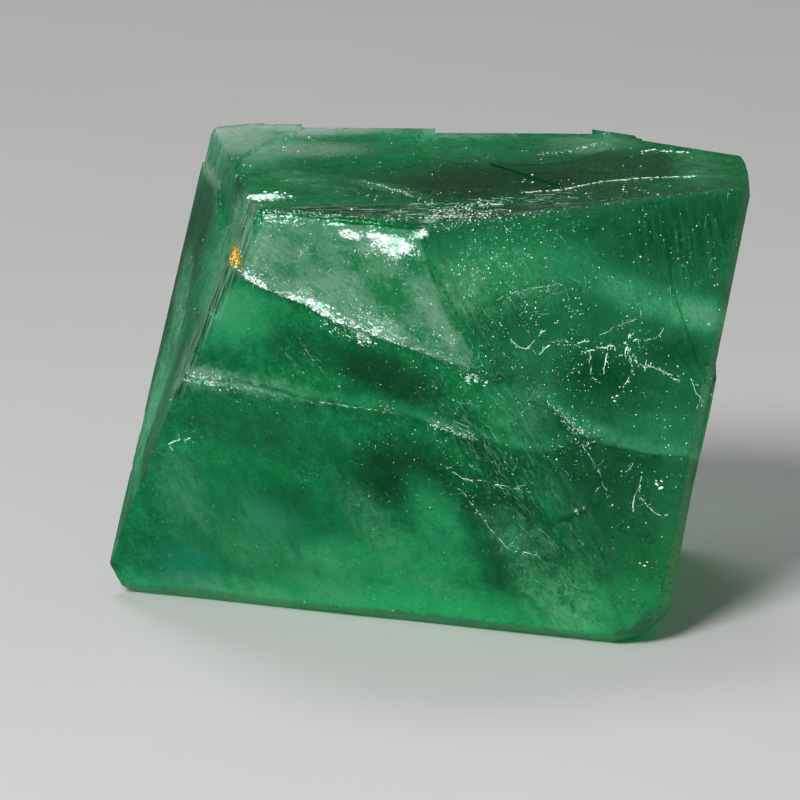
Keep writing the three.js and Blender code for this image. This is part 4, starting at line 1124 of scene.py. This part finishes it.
def wear_hidden_sides():
    """Hairlines along the cleavage, bruised upper edges and stray scratches on the sides turned away."""
    dice = random.Random(91)
    for name in HIDDEN_SIDES:
        if name == "left":     # this side shows at a grazing angle and has marks of its own
            continue
        for _ in range(SIDE_HAIRLINES):
            turn = math.radians(dice.choice(CLEAVAGE_TURNS) + dice.gauss(0, CLEAVAGE_SCATTER))
            x, y = [dice.uniform(*span) for span in SIDE_STARTS]
            line = [(x, y)]
            for _ in range(dice.randint(*SIDE_STEPS)):
                turn += dice.gauss(0, SIDE_BEND)
                x, y = x + SIDE_STEP * math.cos(turn), y + SIDE_STEP * math.sin(turn)
                line.append((x, y))
            HAIRLINES.append((name, line, dice.uniform(*SIDE_HALF_WIDTHS)))
            CRUSHED_LINES.append((name, line[:2], *START_BRUISE))
        CRUSHED_LINES.append((name, UPPER_EDGE, *EDGE_BRUISE))
        across, up, spread, count, steepest, scatter = SIDE_SCRATCHES
        middle = [(x, dice.uniform(-up, up)) for x in (-across, across)]
        SCRATCHED.append((name, middle, spread, count, dice.uniform(-steepest, steepest), scatter))


def crack_runs(surface, face, line, half_width, seed):
    """The unbroken runs of a hairline as lists of (place, radius) on the stone."""
    run, travelled = [], 0.0
    for (ax, ay), (bx, by) in zip(line, line[1:]):
        steps = max(1, round(math.dist((ax, ay), (bx, by)) / CRACK_STEP))
        for i in range(steps):
            share = i / steps
            travelled += CRACK_STEP
            stray = noise.noise_vector(Vector((travelled * WANDER_WAVES, seed, 0))) * CRACK_WANDER
            x, y = ax + (bx - ax) * share + stray.x, ay + (by - ay) * share + stray.y
            spot = on_stone(surface, face, x, y)
            change = WIDTH_CHANGE * noise.noise(Vector((travelled * WIDTH_WAVES, seed, 7)))
            width = half_width * (WIDTH + change)
            if spot and width > half_width * THINNEST:
                run.append((spot[0], width))
            else:
                if len(run) > 1:
                    yield run
                run = []
    if len(run) > 1:
        yield run


def new_threads(name):
    """A curve whose every thread is a tube as thick as its points say, in mm."""
    curve = bpy.data.curves.new(name, "CURVE")
    curve.dimensions = "3D"
    curve.bevel_depth = MM
    curve.bevel_resolution = 0
    curve.use_fill_caps = True
    return curve


def add_thread(curve, run):
    spline = curve.splines.new("POLY")
    spline.points.add(len(run) - 1)
    for point, (place, width) in zip(spline.points, run):
        point.co = (*place, 1)
        point.radius = width


def threads_to_piece(curve, material):
    """Makes the curve's tubes a mesh and a piece of the same name."""
    name = curve.name
    holder = bpy.data.objects.new(name, curve)
    bpy.context.scene.collection.objects.link(holder)
    depsgraph = bpy.context.evaluated_depsgraph_get()
    mesh = bpy.data.meshes.new_from_object(holder.evaluated_get(depsgraph))
    bpy.data.objects.remove(holder)
    bpy.data.curves.remove(curve)
    mesh.name = name
    add_piece(name, mesh, material)


def twigs(line, half_width, dice):
    """Short side cracks that leave a traced crack at an angle."""
    for (ax, ay), (bx, by) in zip(line, line[1:]):
        length = math.dist((ax, ay), (bx, by))
        for _ in range(round(length * TWIGS_PER_MM + dice.random() - 0.5)):
            share, bend = dice.random(), dice.choice((-1, 1)) * dice.uniform(*TWIG_ANGLE)
            turn = math.atan2(by - ay, bx - ax) + bend
            x, y = ax + (bx - ax) * share, ay + (by - ay) * share
            twig = [(x, y)]
            for _ in range(dice.randint(*TWIG_STEPS)):
                turn += dice.uniform(-TWIG_BEND, TWIG_BEND)
                x, y = x + TWIG_STEP * math.cos(turn), y + TWIG_STEP * math.sin(turn)
                twig.append((x, y))
            yield twig, half_width * TWIG_WIDTH


def lay_cracks(surface, material, name, lines, branching=False):
    curve = new_threads(name)
    dice = random.Random(CRACK_SEED)
    noise.seed_set(CRACK_SEED)     # without it, noise_vector gives other values at each run
    for seed, (face, line, half_width) in enumerate(lines):
        parts = [(line, half_width)] + (list(twigs(line, half_width, dice)) if branching else [])
        for number, (part, width) in enumerate(parts):
            for run in crack_runs(surface, face, part, width, seed * 3.1 + number * 0.7):
                add_thread(curve, run)
    threads_to_piece(curve, material)


def lay_scratches(surface, material):
    """Fine pale scratches that follow the worn ridge and cross the faces."""
    curve = new_threads("fine_scratches")
    dice = random.Random(47)
    for face, line, spread, count, direction, scatter in SCRATCHED:
        for x, y, _ in spots_along(line, count, spread, dice):
            turn = math.radians(dice.gauss(direction, scatter))
            half_width, bend = dice.uniform(*SCRATCH_HALF_WIDTHS), dice.uniform(-SCRATCH_BEND, SCRATCH_BEND)
            run = []
            for _ in range(dice.randint(*SCRATCH_STEPS)):
                hit = on_stone(surface, face, x, y)
                if hit:
                    run.append((hit[0], half_width * (0.5 + dice.random())))
                x, y = x + SCRATCH_STEP * math.cos(turn), y + SCRATCH_STEP * math.sin(turn)
                turn += bend
            if len(run) >= SHORTEST_SCRATCH:
                add_thread(curve, run)
    threads_to_piece(curve, material)


# ------------------------------------------------------------ floor, light and camera (metres)

FLOOR_HALF = 9.0
FLOOR_DARK, FLOOR_LIGHT = rgb(0.36, 0.36, 0.355), rgb(0.40, 0.40, 0.395)
# The sky: (height of the ray, strength) where the even light from above starts and ends, and the same
# for the faint band that meets the floor's far edge.
ABOVE = ((0.42, 0.05), (1.0, 0.6))
HORIZON = ((0.0, 0.11), (0.15, 0.05))
# Soft round lamps: name, place, size across, watts. They aim at the middle of the stone.
LAMPS = [
    ("key", (-0.22, -0.42, 0.40), 0.22, 6.2),
    ("rim", (-0.10, 0.30, 0.60), 0.25, 1.2),
]
LAMP_AIM = Vector((0, 0, 0.013))
# The camera looks down from the front, from far away as through a long lens.
LENS, SENSOR = 405, 36         # mm
CAMERA_AIM = Vector((-1.75, -8.47, 14.69)) * MM
CAMERA_DISTANCE = 0.5508
CAMERA_PITCH = math.radians(12.9)


def make_floor():
    bm = bmesh.new()
    bmesh.ops.create_grid(bm, x_segments=8, y_segments=8, size=FLOOR_HALF)
    floor = bpy.data.objects.new("floor", finish_mesh(bm, "floor"))
    bpy.context.scene.collection.objects.link(floor)
    material, tree, surface = new_material("pale_floor")
    place = add(tree, "ShaderNodeTexCoord").outputs["Object"]
    colour = mixed(tree, clouds(tree, place, 0.02, detail=3), FLOOR_DARK, FLOOR_LIGHT)
    tree.links.new(colour, surface.inputs["Base Color"])
    surface.inputs["Roughness"].default_value = 0.6
    floor.data.materials.append(material)


def make_sky():
    """Even light from above that fades to a darker room near the floor."""
    world = bpy.data.worlds.new("studio")
    bpy.context.scene.world = world
    world.use_nodes = True
    tree = world.node_tree
    ray = add(tree, "ShaderNodeTexCoord").outputs["Generated"]
    height = add(tree, "ShaderNodeSeparateXYZ", {0: ray}).outputs["Z"]
    bands = [stretched(tree, height, low, high, dim, bright)
             for (low, dim), (high, bright) in (ABOVE, HORIZON)]
    tree.links.new(maths(tree, "MAXIMUM", *bands), tree.nodes["Background"].inputs["Strength"])
    tree.nodes["Background"].inputs["Color"].default_value = rgb(1, 1, 1)


def make_lamp(name, place, size, watts):
    data = bpy.data.lights.new(name, "AREA")
    data.shape = "DISK"
    data.size = size
    data.energy = watts
    lamp = bpy.data.objects.new(name, data)
    lamp.location = place
    lamp.rotation_euler = (LAMP_AIM - Vector(place)).to_track_quat("-Z", "Y").to_euler()
    bpy.context.scene.collection.objects.link(lamp)


def make_camera():
    bpy.context.scene.view_settings.view_transform = "Standard"
    data = bpy.data.cameras.new("camera")
    data.lens = LENS
    data.sensor_width = SENSOR
    data.clip_start, data.clip_end = 0.01, 50
    camera = bpy.data.objects.new("camera", data)
    back = Vector((0, -math.cos(CAMERA_PITCH), math.sin(CAMERA_PITCH)))
    camera.location = CAMERA_AIM + back * CAMERA_DISTANCE
    camera.rotation_euler = (math.pi / 2 - CAMERA_PITCH, 0, 0)
    bpy.context.scene.collection.objects.link(camera)
    bpy.context.scene.camera = camera


# ------------------------------------------------------------ the crystal

bruised = crushed_finish("bruised_stone", rgb(0.92, 0.98, 0.95), rgb(0.34, 0.76, 0.56), 0.15, 0.45)
dusty = crushed_finish("pale_dust", rgb(0.95, 0.97, 0.93), rgb(0.75, 0.88, 0.80), 0.1, 0.5)
veined = crushed_finish("healed_crack", rgb(0.80, 0.98, 0.88), rgb(0.25, 0.62, 0.42), 0.2, 0.45)
scratched = crushed_finish("scratched_stone", rgb(0.45, 0.85, 0.64), rgb(0.10, 0.45, 0.25), 0.4, 0.5)
# Painted shadow for the grooves beside the slab.
shadowed = crushed_finish("painted_shadow", rgb(0.01, 0.16, 0.08), rgb(0.002, 0.05, 0.02), 0.2, 0.6)
rusty = crushed_finish("iron_stain", rgb(1.0, 0.78, 0.22), rgb(0.80, 0.40, 0.03), 0.1, 0.5)

mark_hidden_sides()
wear_hidden_sides()
surface = build_stone(stone_finish())
lay_crushed_stone(surface, bruised)
lay_pale_grains(surface, dusty)
lay_cracks(surface, veined, "hairline_cracks", HAIRLINES, branching=True)
lay_cracks(surface, shadowed, "painted_shadow_lines", PAINTED_SHADOW_LINES)
lay_scratches(surface, scratched)
lay_iron_stain(surface, rusty)

make_floor()
make_sky()
for lamp in LAMPS:
    make_lamp(*lamp)
make_camera()
